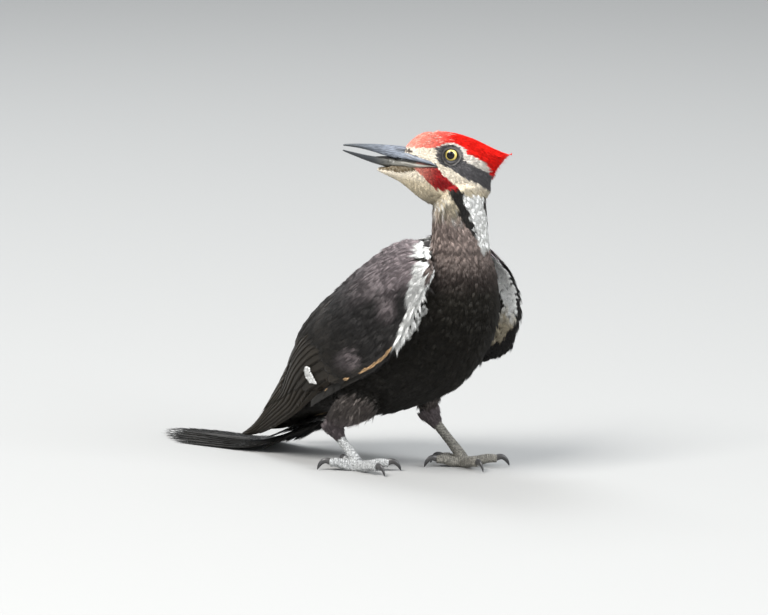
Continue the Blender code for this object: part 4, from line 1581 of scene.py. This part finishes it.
def past_the_edge(points, way):
    """Near the right wing's front edge the band's feathers hang forward and down over it."""
    edge = np.interp(points[:, 2], *np.array(WING_FRONT, float).T)
    share = step(edge - points[:, 1], -8.0, -1.0) * (points[:, 0] < -30) * (points[:, 2] < 168)
    back = (points[:, 2] > 174.0)[:, None] * np.array((0.0, 0.8, -0.6))
    return unit(way + share[:, None] * np.array((0.9, -0.7, -1.6)) + back)


coat("coat_band", ["trunk", "right_wing", "left_wing"], 1.4, 51, LONG, 10.0, 4.6, PALE_FINISH,
     "cream_plumage", keep=in_band, swing=12.0, aim=past_the_edge, lift=8.0, bend=0.6,
     tone=(0.94, 1.03), vary=0.05, streak=0.08)
DOWN_THE_CREASE = (-0.35, -0.1, -0.9)
coat("coat_crease", ["trunk", "right_wing"], 1.3, 52, TUFT, 5.5, 3.4, PALE_FINISH, "cream_plumage",
     keep=lambda points: ~clear_of_crease(points), swing=6.0,
     aim=lambda points, way: unit(np.tile(DOWN_THE_CREASE, (len(points), 1))),
     lift=3.0, bend=0.4, thick=0.6, tone=(0.9, 1.05))

# %% [markdown]
# The white spot on the folded wing is the pale base of the primaries, seen past the last
# tertial. The left wing stands off the breast, so its pale lining shows too. The worn lower
# edge of the right wing shows buff, and short black tufts close the rim of both.

# %% White spot, worn edge and wing lining
SPOT_ROWS = [                  # height, rear edge, front edge of the spot on the right wing
    (81.8, -13.6, -19.6), (78.0, -13.8, -19.8), (76.6, -14.0, -21.6), (73.6, -15.2, -23.2),
    (70.8, -18.4, -24.6),
]
SPOT_X = -46.5                 # the wing's side there, and the spot's tufts across and down
SPOT_ACROSS = 7
SPOT_DOWN = 14
STEP = 0.01
BUFF_RUNS = (                  # along the chart from, to, reach of the tufts, how many
    (0.322, 0.440, 9.0, 18), (0.492, 0.500, 7.0, 3), (0.570, 0.574, 5.0, 2),
)
RIM_TUFTS = 150
stations = smooth_rows(SPOT_ROWS, np.linspace(0.0, 1.0, SPOT_DOWN))
height, rear, front = (np.repeat(column, SPOT_ACROSS) for column in stations.T)
across = np.tile(np.linspace(0.0, 1.0, SPOT_ACROSS), SPOT_DOWN)
wander = np.random.default_rng(61).normal(0.0, 0.25, (2, len(across)))
y = rear + (front - rear) * across + wander[0]
goal = np.stack([np.full(len(y), SPOT_X), y, height + wander[1]], 1)
spot_a, spot_b = chart_spot("right", goal)
face = CHARTS["right"].at
for _ in range(3):
    here = face(spot_a, spot_b)
    by_a = (face(spot_a + STEP, spot_b) - face(spot_a - STEP, spot_b)) / (2 * STEP)
    by_b = (face(spot_a, spot_b + STEP) - face(spot_a, spot_b - STEP)) / (2 * STEP)
    spot_a = spot_a + ((goal - here) * by_a).sum(1) / (by_a ** 2).sum(1) * 0.8
    spot_b = spot_b + ((goal - here) * by_b).sum(1) / (by_b ** 2).sum(1) * 0.8


def wavy_line(low, high, count, middle_b, swing):
    """Places along a wing's chart on a line that weaves a little across it."""
    return np.linspace(low, high, count), middle_b + swing * np.sin(np.arange(count) * 2.4)


def tufts_on(side, name, shape, a, b, rise, length, width, colour, **settings):
    """Tufts at given places of a wing's outer face, all along its run."""
    chart = CHARTS[side]
    facing = chart.normal(a, b)
    roots = chart.at(a, b) + facing * rise
    return plant(name, shape, roots, chart.run(a, b), facing, length, width, colour, **settings)


for n, side in enumerate(SIDES):
    dress(tufts_on(side, "spot_" + side, TUFT, spot_a, spot_b, 1.5, 3.6, 2.2, WHITE, lift=0.3,
                   thick=0.12, tone=(0.98, 1.0), vary=0.03, seed=60 + n), PALE_FINISH, "cream_plumage")
for n, (low_a, high_a, reach, count) in enumerate(BUFF_RUNS):
    a, b = wavy_line(low_a, high_a, count, 0.985, 0.012)
    dress(tufts_on("right", "buff_edge_%d" % n, LONG, a, b, 1.9, reach, 3.0, BUFF, lift=0.5,
                   vary=0.3, streak=0.3, seed=90 + n), PALE_FINISH, "cream_plumage")


def lining(side, seed):
    """The inner face: white, then cream darkening toward the tip as painted shade, framed by the black
    rim and the black flank.
    """
    chart = LININGS[side]
    a, b, points = wing_roots(chart, 2.2, seed, lambda a, b: (a < 0.455) & (b > 0.5))
    facing = chart.normal(a, b)
    ahead = jitter(unit(chart.run(a, b) + chart.down(a, b) * 0.1), facing, 5.0, seed)
    # After the white, the cream darkens toward the tip as painted shade on the wing's inner face, into
    # the brown of the flight feathers.
    pale = ramp(a + 0.02 * ripple(points, 8.0), [
        (0.0, WHITE), (0.24, WHITE), (0.29, THROAT * 0.7), (0.43, THROAT * 0.42), (0.455, THROAT * 0.3),
        (0.475, WING_BROWN * 2.5), (0.6, WING_BROWN * 2)])
    rim = b > np.interp(a, (0.0, 0.1, 0.22, 0.28, 0.36, 0.43, 0.47),
                        (1.1, 0.988, 0.985, 0.965, 0.93, 0.89, 0.86))
    inner = b < np.interp(a, (0.0, 0.12, 0.2, 0.23, 0.26, 0.3, 0.45),
                          (0.73, 0.76, 0.79, 0.86, 0.875, 0.83, 0.78))
    pale[rim] = WING_BLACK
    pale[inner] = BREAST_BLACK
    return plant("lining_" + side, TUFT, points + facing * 0.3, ahead, facing, 9.0, 5.0, pale,
                 lift=3.0, bend=0.3, tone=(0.92, 1.05), vary=0.06, streak=0.12, seed=seed)


for n, side in enumerate(SIDES):
    dress(lining(side, 71 + n), PALE_FINISH, "cream_plumage")
    a, b = wavy_line(0.06, 0.50, RIM_TUFTS, 0.965, 0.015)
    if side == "right":
        keep = ~in_band(CHARTS[side].at(a, b))
        a, b = a[keep], b[keep]
    dress(tufts_on(side, "rim_" + side, TUFT, a, b, 0.8, 7.0, 2.6, WING_BLACK, lift=0.5, thick=0.6,
                   seed=95 + n), DARK_FINISH, "black_plumage", side + "_wing")

# %% [markdown]
# ## Tail
# A woodpecker props itself on its tail, so the tail feathers are long, stiff and pointed,
# and their ends fray. They fan from one root, the middle pair on top, and are laid along the
# floor. Coverts hide their roots above and below.

# %% Tail feathers
TAIL_LINE = [(85, 29), (92, 26), (105, 18.5), (120, 11.5), (137, 6.2), (156, 3.4), (180, 2.4),
             (245, 2.2)]       # place along Y, height
TAIL_ROOT = 88.0
TAIL_SHAFT = (0.03, 0.026, 0.022)
TAIL_PAIRS = [  # root across, tip across, reach along Y
    (1.5, 3.0, 239.0), (3.0, 8.0, 237.5), (4.5, 13.5, 233.0), (6.0, 19.0, 226.0),
    (7.5, 24.5, 217.0), (9.0, 29.5, 205.0),
]


def tail_height(x, y):
    """Height of the tail's upper face."""
    line = np.interp(y, [p[0] for p in TAIL_LINE], [p[1] for p in TAIL_LINE])
    wide = np.interp(y, (92, 137, 180, 240), (13, 25, 33, 33))
    return line + 2.6 * np.clip(1 - (x / wide) ** 2, 0.0, 1.0) * np.interp(y, (200, 240), (1.0, 0.5))


tail_made = []
for pair, (root_x, tip_x, reach) in enumerate(TAIL_PAIRS):
    for sign in (-1.0, 1.0):
        seed = 300 + pair * 2 + int(sign > 0)
        rng = np.random.default_rng(seed)
        t, across, raise_by = long_feather(17.0 - pair, 0.0, "pointed", seed)
        ragged = 1.0 + (rng.random(across.shape) - 0.5) * 0.5 * step(t, 0.5, 0.8)[:, None]
        x = sign * (root_x + (tip_x - root_x) * t ** 0.9)[:, None] + across * ragged
        y = np.repeat((TAIL_ROOT + (reach - TAIL_ROOT) * t)[:, None], len(RING), 1)
        level = tail_height(x, y) - 0.42 * pair - 0.1 * (sign > 0)
        level = np.maximum(level + raise_by * 0.8, 0.06)
        points = np.stack([x, y, level], 2) - CENTRE
        tint = np.tile(TAIL_BLACK * (0.9 + 0.3 * rng.random()), (*across.shape, 1))
        tint[:, 2] = TAIL_SHAFT
        tint[:, [0, 4]] *= 1.6
        tail_made.append((points, tint, t))
dress([join_feathers("tail_feathers", tail_made)], DARK_FINISH, "black_plumage", "tail")

# %% Frayed barbs along the tail's edges, and the coverts over its roots
rng = np.random.default_rng(5)
barb_roots = []
barb_ahead = []
for points, _, t in tail_made:
    for edge in (0, 4):
        for row in np.flatnonzero(t > 0.35):
            for _ in range(3):
                spot = points[row, edge] * 0.6 + points[row, 2] * 0.4
                barb_roots.append(spot + (0.0, rng.uniform(-2.0, 2.0), 0.1))
                outward = np.sign(points[row, edge, 0] - points[row, 2, 0])
                barb_ahead.append((outward * rng.uniform(0.12, 0.42), 1.0, 0.0))
barb_roots = np.array(barb_roots)
barb_roots[:, 2] = np.maximum(barb_roots[:, 2], 0.35)
level_up = np.tile((0.0, 0.0, 1.0), (len(barb_roots), 1))
number = np.arange(len(barb_roots))
maps = 0.1 + 0.8 * np.stack([number % 60 / 60, number // 60 / 60], 1)     # no skin lies below
made = plant("tail_barbs", LONG, barb_roots, unit(np.array(barb_ahead)), level_up, 9.0, 2.6,
             TAIL_BLACK * 1.3, maps, lift=0.3, thick=0.5, seed=6)
dress(made, DARK_FINISH, "black_plumage", "tail")


def tail_coverts(count, above, seed):
    """Loose feathers over, or under, the tail's roots."""
    rng = np.random.default_rng(seed)
    y = rng.uniform(80.0, 116.0, count)
    x = rng.uniform(-1.0, 1.0, count) * np.interp(y, (80, 116), (14.0, 17.0))
    z = tail_height(x, y) + (2.2 if above else -2.6)
    slope = np.interp(y, (80, 116), (-0.62, -0.5))
    ahead = unit(np.stack([x * 0.012, np.ones(count), slope], 1))
    up = unit(np.cross(np.tile((1.0, 0.0, 0.0), (count, 1)), ahead)) * (1.0 if above else -1.0)
    return plant("tail_coverts_%d" % seed, TUFT, np.stack([x, y, z], 1) - CENTRE, ahead, up, 18.0,
                 8.0, TAIL_BLACK * 1.8, lift=4.0, thick=0.5, bend=-0.5, seed=seed)


dress(tail_coverts(260, True, 81) + tail_coverts(260, False, 82), DARK_FINISH, "black_plumage")

# %% [markdown]
# ## Bill
# The bill is a long chisel. The upper half has a sharp ridge on top, flat sides and a groove
# from the nostril; the lower half is a keel. Both are lofts in the head's frame, in mm from
# the eyes, and the ellipse of each ring is then pressed into the real section. Horn strips
# run back over the cheek to the corner of the mouth, and the slightly open mouth is a dark
# sheet, painted black as the shade inside it.

# %% Bill halves
EYE_BACK = 2.4                 # the bill's tables start from the skull's middle,
EYE_RISE = 8.4                 # this far behind and below the eyes
UPPER_BILL = [                 # place, top, bottom, half width
    (20, 4.5, -3.4, 4.5), (27, 6, -3.4, 5.9), (36, 6.9, -3.3, 6.0), (43.3, 6.3, -3, 5.6),
    (50, 5.6, -2.4, 5.0), (57.7, 4.8, -1.3, 4.4), (65, 3.7, -0.6, 3.7), (72.2, 2.5, -0.4, 2.8),
    (79, 1.1, -0.7, 1.8), (82.3, 0.2, -0.9, 1.0),
]
LOWER_BILL = [
    (20, -4.4, -9.5, 4.0), (26, -4.2, -11.3, 5.6), (36, -4.3, -11.7, 5.4), (45, -4.6, -11.5, 4.8),
    (52.5, -5, -10.9, 4.1), (60, -5.2, -9.8, 3.4), (69, -4.9, -8, 2.6), (77, -4.4, -6.2, 1.7),
    (82, -4, -4.9, 0.9),
]
# MOUTH is a dark sheet between the halves of the bill, standing in for the shade inside the open mouth.
MOUTH = [(10, -4.6, -4.9, 1.0), (18, -3.2, -5.2, 3.0), (30, -2.4, -5.4, 4.6), (42, -2.6, -5.4, 3.4),
         (50, -3.7, -5.6, 2.0), (56, -5.1, -5.6, 0.5)]
BILL_TIP = 82.0
BILL_RINGS = 44
BILL_SIDES = 28


def bill_part(name, table, upper):
    """One half of the bill: a loft whose round rings are pressed into flat sides and an edge."""
    rows = smooth_rows(table, np.linspace(0.0, 1.0, BILL_RINGS))
    piece = loft(name, BILL_SIDES, [tuple(float(v) for v in row) for row in rows])
    local = vertices(piece) * MM
    top, bottom, wide = (np.interp(local[:, 0], rows[:, 0], rows[:, k]) for k in (1, 2, 3))
    high = np.clip((local[:, 2] - (top + bottom) / 2) * 2 / (top - bottom), -1.0, 1.0)
    across = np.clip(local[:, 1] / wide, -1.0, 1.0)
    share = local[:, 0] / BILL_TIP
    roof = high if upper else -high
    flank = np.sign(across) * np.abs(across) ** np.where(roof > 0, 1.3, 0.45)
    edge = np.where(roof < 0, -np.abs(roof) ** 0.45, roof)
    level = (top + bottom) / 2 + (edge if upper else -edge) * (top - bottom) / 2
    side = flank * wide
    if upper:
        groove = np.exp(-((level - (top - 2.6)) / 0.8) ** 2) * step(-share, -0.62, -0.45)
        side = side - np.sign(across) * groove * 0.55
        ridge = np.exp(-((level - (top * 0.45 + bottom * 0.55)) / 0.9) ** 2)
        side = side + np.sign(across) * ridge * 0.35 * step(-share, -0.95, -0.7)
    placed = np.stack([local[:, 0] + EYE_BACK, side, level - EYE_RISE], 1)
    set_vertices(piece, from_head(placed))
    # slit darkens the nostril as painted shade in its opening; keel darkens a line low on the upper
    # half's side toward the tip.
    slit = np.exp(-((placed[:, 0] - 38.5) / 5.5) ** 4 - ((level - top + 2.4) / 0.75) ** 2) * upper
    keel = np.exp(-((level - (0.25 * top + 0.75 * bottom)) / 0.7) ** 2) * (0.5 if upper else 0.0)
    paint(piece, np.repeat((1.0 - 0.93 * slit - keel * step(share, 0.5, 0.9))[:, None], 3, 1))
    mark_places(piece, placed)
    apply_modifier(piece, "SUBSURF", levels=1, render_levels=1)
    select_only(piece)
    bpy.ops.object.shade_smooth()
    return piece


def horn(name, pale, dark, tip, fade):
    """Horn with growth lines along the bill, darker toward the tip."""
    finish = Finish(name, Coat_Weight=0.15, Coat_Roughness=0.3, Specular_IOR_Level=0.45)
    place = finish.attribute("Place", 1)
    stretch = finish.node("ShaderNodeVectorMath", {"operation": "MULTIPLY"},
                          {0: place, 1: (0.07, 1.5, 1.5)})
    lines = finish.noise(stretch, 1.6, 4.0)
    toward_tip = finish.spread(finish.parts(place)[0] + lines * 16.0, *fade)
    body = finish.mix(finish.spread(lines, 0.35, 0.65), dark, pale)
    horn_colour = finish.mix(toward_tip, body, tip)
    shade = finish.attribute("Colour")
    finish.set("Base Color", finish.mix(1.0, horn_colour, shade, "MULTIPLY"))
    finish.set("Roughness", finish.spread(lines, 0.3, 0.7, 0.48, 0.30))
    finish.bump(lines, 0.0003, 0.5)
    return finish.material


HORN_UPPER = horn("upper_horn", (0.27, 0.30, 0.36, 1), (0.04, 0.047, 0.058, 1),
                  (0.022, 0.028, 0.032, 1), (52.0, 88.0))
HORN_LOWER = horn("lower_horn", (0.31, 0.30, 0.26, 1), (0.055, 0.050, 0.040, 1),
                  (0.02, 0.023, 0.026, 1), (38.0, 68.0))
upper_bill = bill_part("upper_bill", UPPER_BILL, True)
lower_bill = bill_part("lower_bill", LOWER_BILL, False)
dress([upper_bill], HORN_UPPER, "bill_horn", "upper_bill")
dress([lower_bill], HORN_LOWER, "bill_horn", "lower_bill")
# The mouth is painted near-black, as shade.
mouth = bill_part("mouth", MOUTH, True)
dress([mouth], Finish("mouth_painted_shade", Base_Color=(0.012, 0.010, 0.010, 1), Roughness=0.5).material,
      "bill_horn")
print("bill triangles:", sum(len(p.vertices) - 2 for p in upper_bill.data.polygons))

# %% Horn strips at the corner of the mouth
BILL_SIDE = 5.2                # mm from the bill's middle to its side
head_tree, _ = tree_of(["head"])
STRIPS = {                     # place forward, upper edge, lower edge
    "upper": [(9.6, -12.7, -12.9), (13, -11.0, -12.6), (17, -10.0, -12.4), (21.5, -9.1, -12.2),
              (26, -8.4, -12.0), (29.8, -7.4, -11.8), (33, -6.8, -11.7), (37, -6.6, -11.7),
              (43, -7.0, -11.6)],
    "lower": [(9.4, -13.3, -13.5), (13, -13.4, -14.2), (17, -13.7, -15.0), (22, -13.9, -16.4),
              (27, -13.9, -17.0), (31, -13.8, -17.2), (36, -13.7, -17.4), (42, -13.5, -18.2),
              (47, -13.4, -18.6)],
}


def beside_head(forward, up, sign, missed):
    """How far out the head's side lies at a place in side view."""
    start = from_head((forward, sign * 40.0, up))
    hit = head_tree.ray_cast(Vector(start), Vector(-sign * HEAD_AXES[1]))[0]
    return missed if hit is None else abs(to_head(np.array([hit]))[0, 1])


def on_head(forward, height, sign, rise):
    """A point above the head's side, found by its place and height in side view."""
    out = 12.0
    for _ in range(4):
        out = beside_head(forward, height + VIEW_SLOPE * out, sign, BILL_SIDE)
    widest = float(np.interp(forward, (34, 41, 46), (17.0, 9.0, BILL_SIDE)))
    out = max(min(out, widest), BILL_SIDE)
    return from_head((forward, sign * (out + rise), height + VIEW_SLOPE * out))


def closed_piece(name, points, faces):
    """A closed piece from points in mm and faces, turned outward."""
    mesh = bpy.data.meshes.new(name)
    mesh.from_pydata((np.array(points).reshape(-1, 3) * MM).tolist(), [], faces)
    piece = bpy.data.objects.new(name, mesh)
    scene.collection.objects.link(piece)
    face_outward(piece)
    return piece


def closed_rings(name, rings):
    """A closed skin through rings of points, with its faces outward."""
    rings = np.array(rings)
    return closed_piece(name, rings, ring_faces(*rings.shape[:2]).tolist())


STRIP_SECTION = (              # share from the upper to the lower edge, rise over the cheek
    (0.0, -0.5), (0.2, 0.45), (0.5, 0.75), (0.8, 0.5), (1.0, -0.3), (0.5, -1.6),
)


def strip(name, table, sign):
    """A strip of horn laid along the cheek."""
    rows = smooth_rows(table, np.linspace(0.0, 1.0, 24))
    rings = [[on_head(forward, top + (bottom - top) * k, sign, rise) for k, rise in STRIP_SECTION]
             for forward, top, bottom in rows]
    piece = closed_rings(name, rings)
    place = to_head(vertices(piece))
    place[:, 2] -= np.interp(place[:, 0], rows[:, 0], rows[:, 1:].mean(1))
    place[:, 1] = 0.0
    mark_places(piece, place)
    paint(piece, np.ones((len(piece.data.vertices), 3)))
    return piece


for side, sign in SIDES.items():
    dress([strip("gape_upper_" + side, STRIPS["upper"], sign)], HORN_UPPER, "bill_horn")
    dress([strip("gape_lower_" + side, STRIPS["lower"], sign)], HORN_LOWER, "bill_horn")

# %% [markdown]
# ## Eyes
# The eye is a glossy ball with a pale yellow iris and a round black pupil. A broad ring of
# bare, wrinkled grey skin surrounds it, built as fine ridges one inside the other. The rings
# lie on the head's own side and their innermost ridge is the lid that meets the ball.

# %% Eyeballs
EYE_RADIUS = 6.2
PUPIL = 3.2
IRIS = 4.9


def eye_finish():
    """Black pupil, yellow iris with fine rays, dark rim, by distance from the eye's middle."""
    finish = Finish("eye_wet", Roughness=0.05, Coat_Weight=0.1, Coat_Roughness=0.02,
                    Specular_IOR_Level=0.3)
    radius, angle, _ = finish.parts(finish.attribute("Place", 1))
    rays = finish.node("ShaderNodeCombineXYZ", {}, {0: angle * 9.0, 1: radius * 0.4})
    fibre = finish.noise(rays, 1.0)
    tone = finish.spread(fibre, 0.3, 0.7, 0.8, 1.1)
    yellow = finish.shade((0.84, 0.66, 0.20), tone)
    pupil = finish.spread(radius, PUPIL - 0.06, PUPIL + 0.06)
    rim = finish.spread(radius, IRIS - 0.2, IRIS + 0.1)
    inner = finish.mix(pupil, (0.003, 0.003, 0.004, 1), yellow)
    finish.set("Base Color", finish.mix(rim, inner, (0.02, 0.017, 0.014, 1)))
    return finish.material


EYE_FINISH = eye_finish()
for side, sign in SIDES.items():
    node = "eye_" + side
    select_none()
    bpy.ops.mesh.primitive_uv_sphere_add(segments=64, ring_count=48, radius=EYE_RADIUS)
    ball = bpy.context.active_object
    ball.name = node + "_ball"
    local = vertices(ball) * MM
    radius = np.hypot(local[:, 0] + 0.5 * step(local[:, 2], 0, 6), local[:, 1])
    radius[local[:, 2] < 0] = EYE_RADIUS
    spin = np.arctan2(local[:, 1], local[:, 0])
    mark_places(ball, np.stack([radius, spin, spin], 1))
    bulge = 0.35 * np.exp(-(local[:, 0] ** 2 + local[:, 1] ** 2) / 12.0)
    cornea = local[:, 2] + bulge * (local[:, 2] > 0)
    turned = np.stack([-local[:, 0], sign * cornea, local[:, 1]], 1) @ HEAD_AXES
    set_vertices(ball, middle(node) + turned)
    face_outward(ball)
    dress([ball], EYE_FINISH, "eye", node)

# %% Orbital rings
RING_REACH = [(0, 7.4), (90, 6.7), (180, 8.8), (270, 9.4), (360, 7.4)]   # by angle from the bill
RIDGES = 7
RING_STEPS = 84
RING_SINK = 1.7                # the ring's outer edge dips this far under the feathers
LID_RADIUS = 4.8
ORBIT_GREY = np.array((0.150, 0.140, 0.132))


def orbit_finish():
    finish = Finish("orbital_skin", Roughness=0.85, Specular_IOR_Level=0.15)
    colour = finish.attribute("Colour")
    grain = finish.noise(finish.place(), 2600.0, 2.0)
    finish.set("Base Color", finish.shade(colour, finish.spread(grain, 0.3, 0.7, 0.75, 1.2)))
    finish.bump(grain, 0.00012, 0.6)
    return finish.material


ORBIT_FINISH = orbit_finish()


def ring_point(share, spin, centre_out, sign):
    """A point of the ring and its colour, with painted light and shade: share runs from the lid to the
    outer edge, spin round the eye.
    """
    reach = np.interp(math.degrees(spin), *np.array(RING_REACH).T)
    wander = share * (0.5 * math.sin(3 * spin + 1.0) + 0.35 * math.sin(7 * spin + 5 * share))
    inner = LID_RADIUS - 0.35 * max(math.sin(spin), 0.0) + 0.25 * math.cos(spin) ** 8
    radius = inner + (reach - inner) * share
    forward = radius * math.cos(spin)
    up = radius * math.sin(spin)
    ball = math.sqrt(EYE_RADIUS ** 2 - min(radius, 5.6) ** 2) + centre_out
    outward = float(step(share, 0.05, 0.75))
    level = ball * (1 - outward) + beside_head(forward, up, sign, 15.0) * outward
    fold = abs(math.sin(math.pi * (share * RIDGES + wander))) ** 0.7
    lid = 0.25 * math.exp(-((share - 0.07) / 0.05) ** 2)
    level += 0.10 + 0.16 * fold * (1 - 0.4 * share) + lid
    level -= RING_SINK * float(step(share, 0.5, 0.95))
    if radius < EYE_RADIUS:
        cover = math.sqrt(EYE_RADIUS ** 2 - radius ** 2) + centre_out
        level = max(level, cover + 0.22 + 0.12 * fold)
    level -= 0.8 * (share == 0.0)
    # Painted light and shade: the lower rear rim is lighter, the ridges are lighter and the folds
    # darker; the skin next to the lid is darker still.
    lit_lower_rim = 0.5 - 0.5 * math.sin(spin + 0.5)
    line = (2.0 * fold - 1.0) * (0.6 + 0.25 * math.sin(11 * spin))
    light = (0.34 + 0.95 * lit_lower_rim) * (1.0 + 0.7 * line) * (0.35 if share < 0.12 else 1.0)
    return from_head((forward, sign * level, up)), ORBIT_GREY * light


def orbit(side):
    """A closed ring of ridged skin round one eye, with a plain back."""
    sign = SIDES[side]
    centre_out = to_head(np.array([middle("eye_" + side)]))[0, 1] * sign
    rows = RIDGES * 6
    made = [ring_point(i / rows, 2 * math.pi * k / RING_STEPS, centre_out, sign)
            for i in range(rows + 1) for k in range(RING_STEPS)]
    points = [point for point, _ in made]
    front = to_head(np.array(points[rows // 2 * RING_STEPS:][:RING_STEPS]))
    points += [from_head((f * 0.9, sign * (s - 2.2), u * 0.9)) for f, s, u in front]
    tints = [tint for _, tint in made] + [np.full(3, 0.05)] * RING_STEPS
    total = rows + 2
    faces = []
    for i in range(total):
        j = (i + 1) % total
        for k in range(RING_STEPS):
            n = (k + 1) % RING_STEPS
            low = i * RING_STEPS
            high = j * RING_STEPS
            faces.append((low + k, low + n, high + n, high + k))
    piece = closed_piece("orbit_" + side, points, faces)
    paint(piece, np.array(tints))
    dress([piece], ORBIT_FINISH, "dark_plumage")


for side in SIDES:
    orbit(side)

# %% [markdown]
# ## Feet
# Two toes point forward and two back. The shank and the toes are fused, smoothed, and then
# raised into overlapping scutes along their tops, with soft pads beneath. The right foot is
# pale and flaky, the left one darker. The claws are dark, smooth horn.

# %% Shanks, toes and claws
FOOT_VOXEL = 0.42
SCUTE = 1.75
FOOT_TINT = {"right": np.array((0.50, 0.51, 0.51)), "left": np.array((0.27, 0.255, 0.22))}
TOES = (1, 2, 3, 4)


def foot_finish():
    finish = Finish("foot_scales", Roughness=0.65)
    colour = finish.attribute("Colour")
    where = finish.place()
    cells = finish.cells(where, 1500.0)
    crack = finish.spread(cells, 0.0, 0.14)
    flake = finish.noise(where, 900.0, 4.0)
    speck = finish.spread(flake, 0.32, 0.60, 0.35, 1.18)
    finish.set("Base Color", finish.shade(finish.shade(colour, speck), crack * 0.45 + 0.62))
    finish.bump(crack + flake, 0.0002, 0.7)
    return finish.material


def foot(side):
    """Shank and toes as one piece, with overlapping scutes along their tops."""
    nodes = [side + "_shank"] + ["%s_toe_%d" % (side, i) for i in TOES]
    piece = copy_of(nodes, 0.6, side + "_foot")
    apply_modifier(piece, "REMESH", mode="VOXEL", voxel_size=FOOT_VOXEL * MM)
    apply_modifier(piece, "SMOOTH", factor=0.5, iterations=16)
    points = vertices(piece)
    facing = normals(piece)
    _, ball = shank_ends(side)
    phase = points[:, 2] / (SCUTE * 1.25)
    on_top = np.full(len(points), 0.8)
    best = np.full(len(points), 1e9)
    for i in TOES:
        run = middle("%s_claw_%d" % (side, i)) - ball
        reach = np.linalg.norm(run[:2])
        run = np.array((run[0], run[1], 0.0)) / reach
        past = (points - ball) @ run
        gap = np.linalg.norm((points - ball - past[:, None] * run)[:, :2], axis=1)
        gap = np.where(past < 2.0, 1e9, gap)
        toe = (gap < best) & (points[:, 2] < 10.5) & (past > 3.0)
        phase = np.where(toe, past / SCUTE, phase)
        on_top = np.where(toe, step(facing[:, 2], -0.1, 0.6), on_top)
        best = np.where(toe, gap, best)
    wave = phase % 1.0
    plate = np.minimum(wave * 1.3, 1.0) * (1.0 - step(wave, 0.82, 1.0))
    rough = 0.12 * ripple(points, 1.7) + 0.08 * ripple(points, 3.1, 2.0)
    rise = plate * 0.36 * on_top + rough + 0.1
    floor_share = step(points[:, 2], 0.3, 1.4)
    moved = points + facing * (rise * floor_share)[:, None]
    moved[:, 2] = np.maximum(moved[:, 2], 0.02)
    set_vertices(piece, moved)
    # Tone: lighter on the raised scutes and darker in the grooves between them, as painted shade, and
    # paler on the undersides.
    tone = 0.55 + 0.5 * plate * on_top + 0.35 * (1 - on_top) + 0.15 * ripple(points, 5.0)
    paint(piece, FOOT_TINT[side] * tone[:, None])
    select_only(piece)
    bpy.ops.object.shade_smooth()
    dress([piece], FOOT_FINISH, "foot_skin", *nodes)
    print(side, "foot faces:", len(piece.data.polygons))


def claw_finish():
    finish = Finish("claw_horn", Coat_Weight=0.2, Coat_Roughness=0.2)
    colour = finish.attribute("Colour")
    streak = finish.noise(finish.place(), 1200.0, 3.0)
    finish.set("Base Color", finish.shade(colour, finish.spread(streak, 0.3, 0.7, 0.8, 1.25)))
    finish.set("Roughness", finish.spread(streak, 0.3, 0.7, 0.28, 0.42))
    return finish.material


CLAW_LINE = [                  # reach from the toe's end, height, half height
    (-3.2, 5.2, 1.7), (-1.2, 6.3, 2.5), (2.0, 7.7, 2.5), (5.2, 7.6, 2.15), (7.8, 5.6, 1.7),
    (9.5, 3.0, 1.1), (10.4, 0.7, 0.35),
]
CLAW_REACH = 10.9
CLAW_NARROW = 0.66             # width against height
CLAW_ROWS = 20
CLAW_SIDES = 14
CLAW_GREY = np.array((0.075, 0.072, 0.070))
CLAW_BLACK = np.array((0.014, 0.014, 0.016))


def claw(node, ball, run):
    """A curved, pointed claw on the place of its node."""
    reach = ((corners(node) - ball) @ run).max() - CLAW_REACH
    rows = smooth_rows(CLAW_LINE, np.linspace(0.0, 1.0, CLAW_ROWS))
    across = np.cross((0.0, 0.0, 1.0), run)
    rings = []
    for i, (x, z, half) in enumerate(rows):
        ahead = rows[min(i + 1, CLAW_ROWS - 1)] - rows[max(i - 1, 0)]
        turn = math.atan2(ahead[1], ahead[0])
        upward = run * -math.sin(turn) + np.array((0.0, 0.0, math.cos(turn)))
        centre = ball * (1, 1, 0) + run * (reach + x) + np.array((0.0, 0.0, z))
        ring = []
        for k in range(CLAW_SIDES):
            spin = 2 * math.pi * k / CLAW_SIDES
            keel = 1.0 - 0.25 * max(-math.cos(spin), 0.0) * abs(math.sin(spin))
            ring.append(centre + upward * half * math.cos(spin)
                        + across * half * CLAW_NARROW * math.sin(spin) * keel)
        rings.append(ring)
    rings = np.array(rings)
    rings[:, :, 2] = np.maximum(rings[:, :, 2], FLOOR_GAP)
    piece = closed_rings(node + "_horn", rings)
    toward_tip = np.repeat(np.linspace(0.0, 1.0, CLAW_ROWS), CLAW_SIDES)
    paint(piece, blend(toward_tip, CLAW_GREY, CLAW_BLACK))
    return piece


FOOT_FINISH = foot_finish()
CLAW_FINISH = claw_finish()
for side in SIDES:
    foot(side)
    _, ball = shank_ends(side)
    for i in TOES:
        node = "%s_claw_%d" % (side, i)
        run = (middle(node) - ball) * (1, 1, 0)
        dress([claw(node, ball, run / np.linalg.norm(run))], CLAW_FINISH, "claw_horn", node)
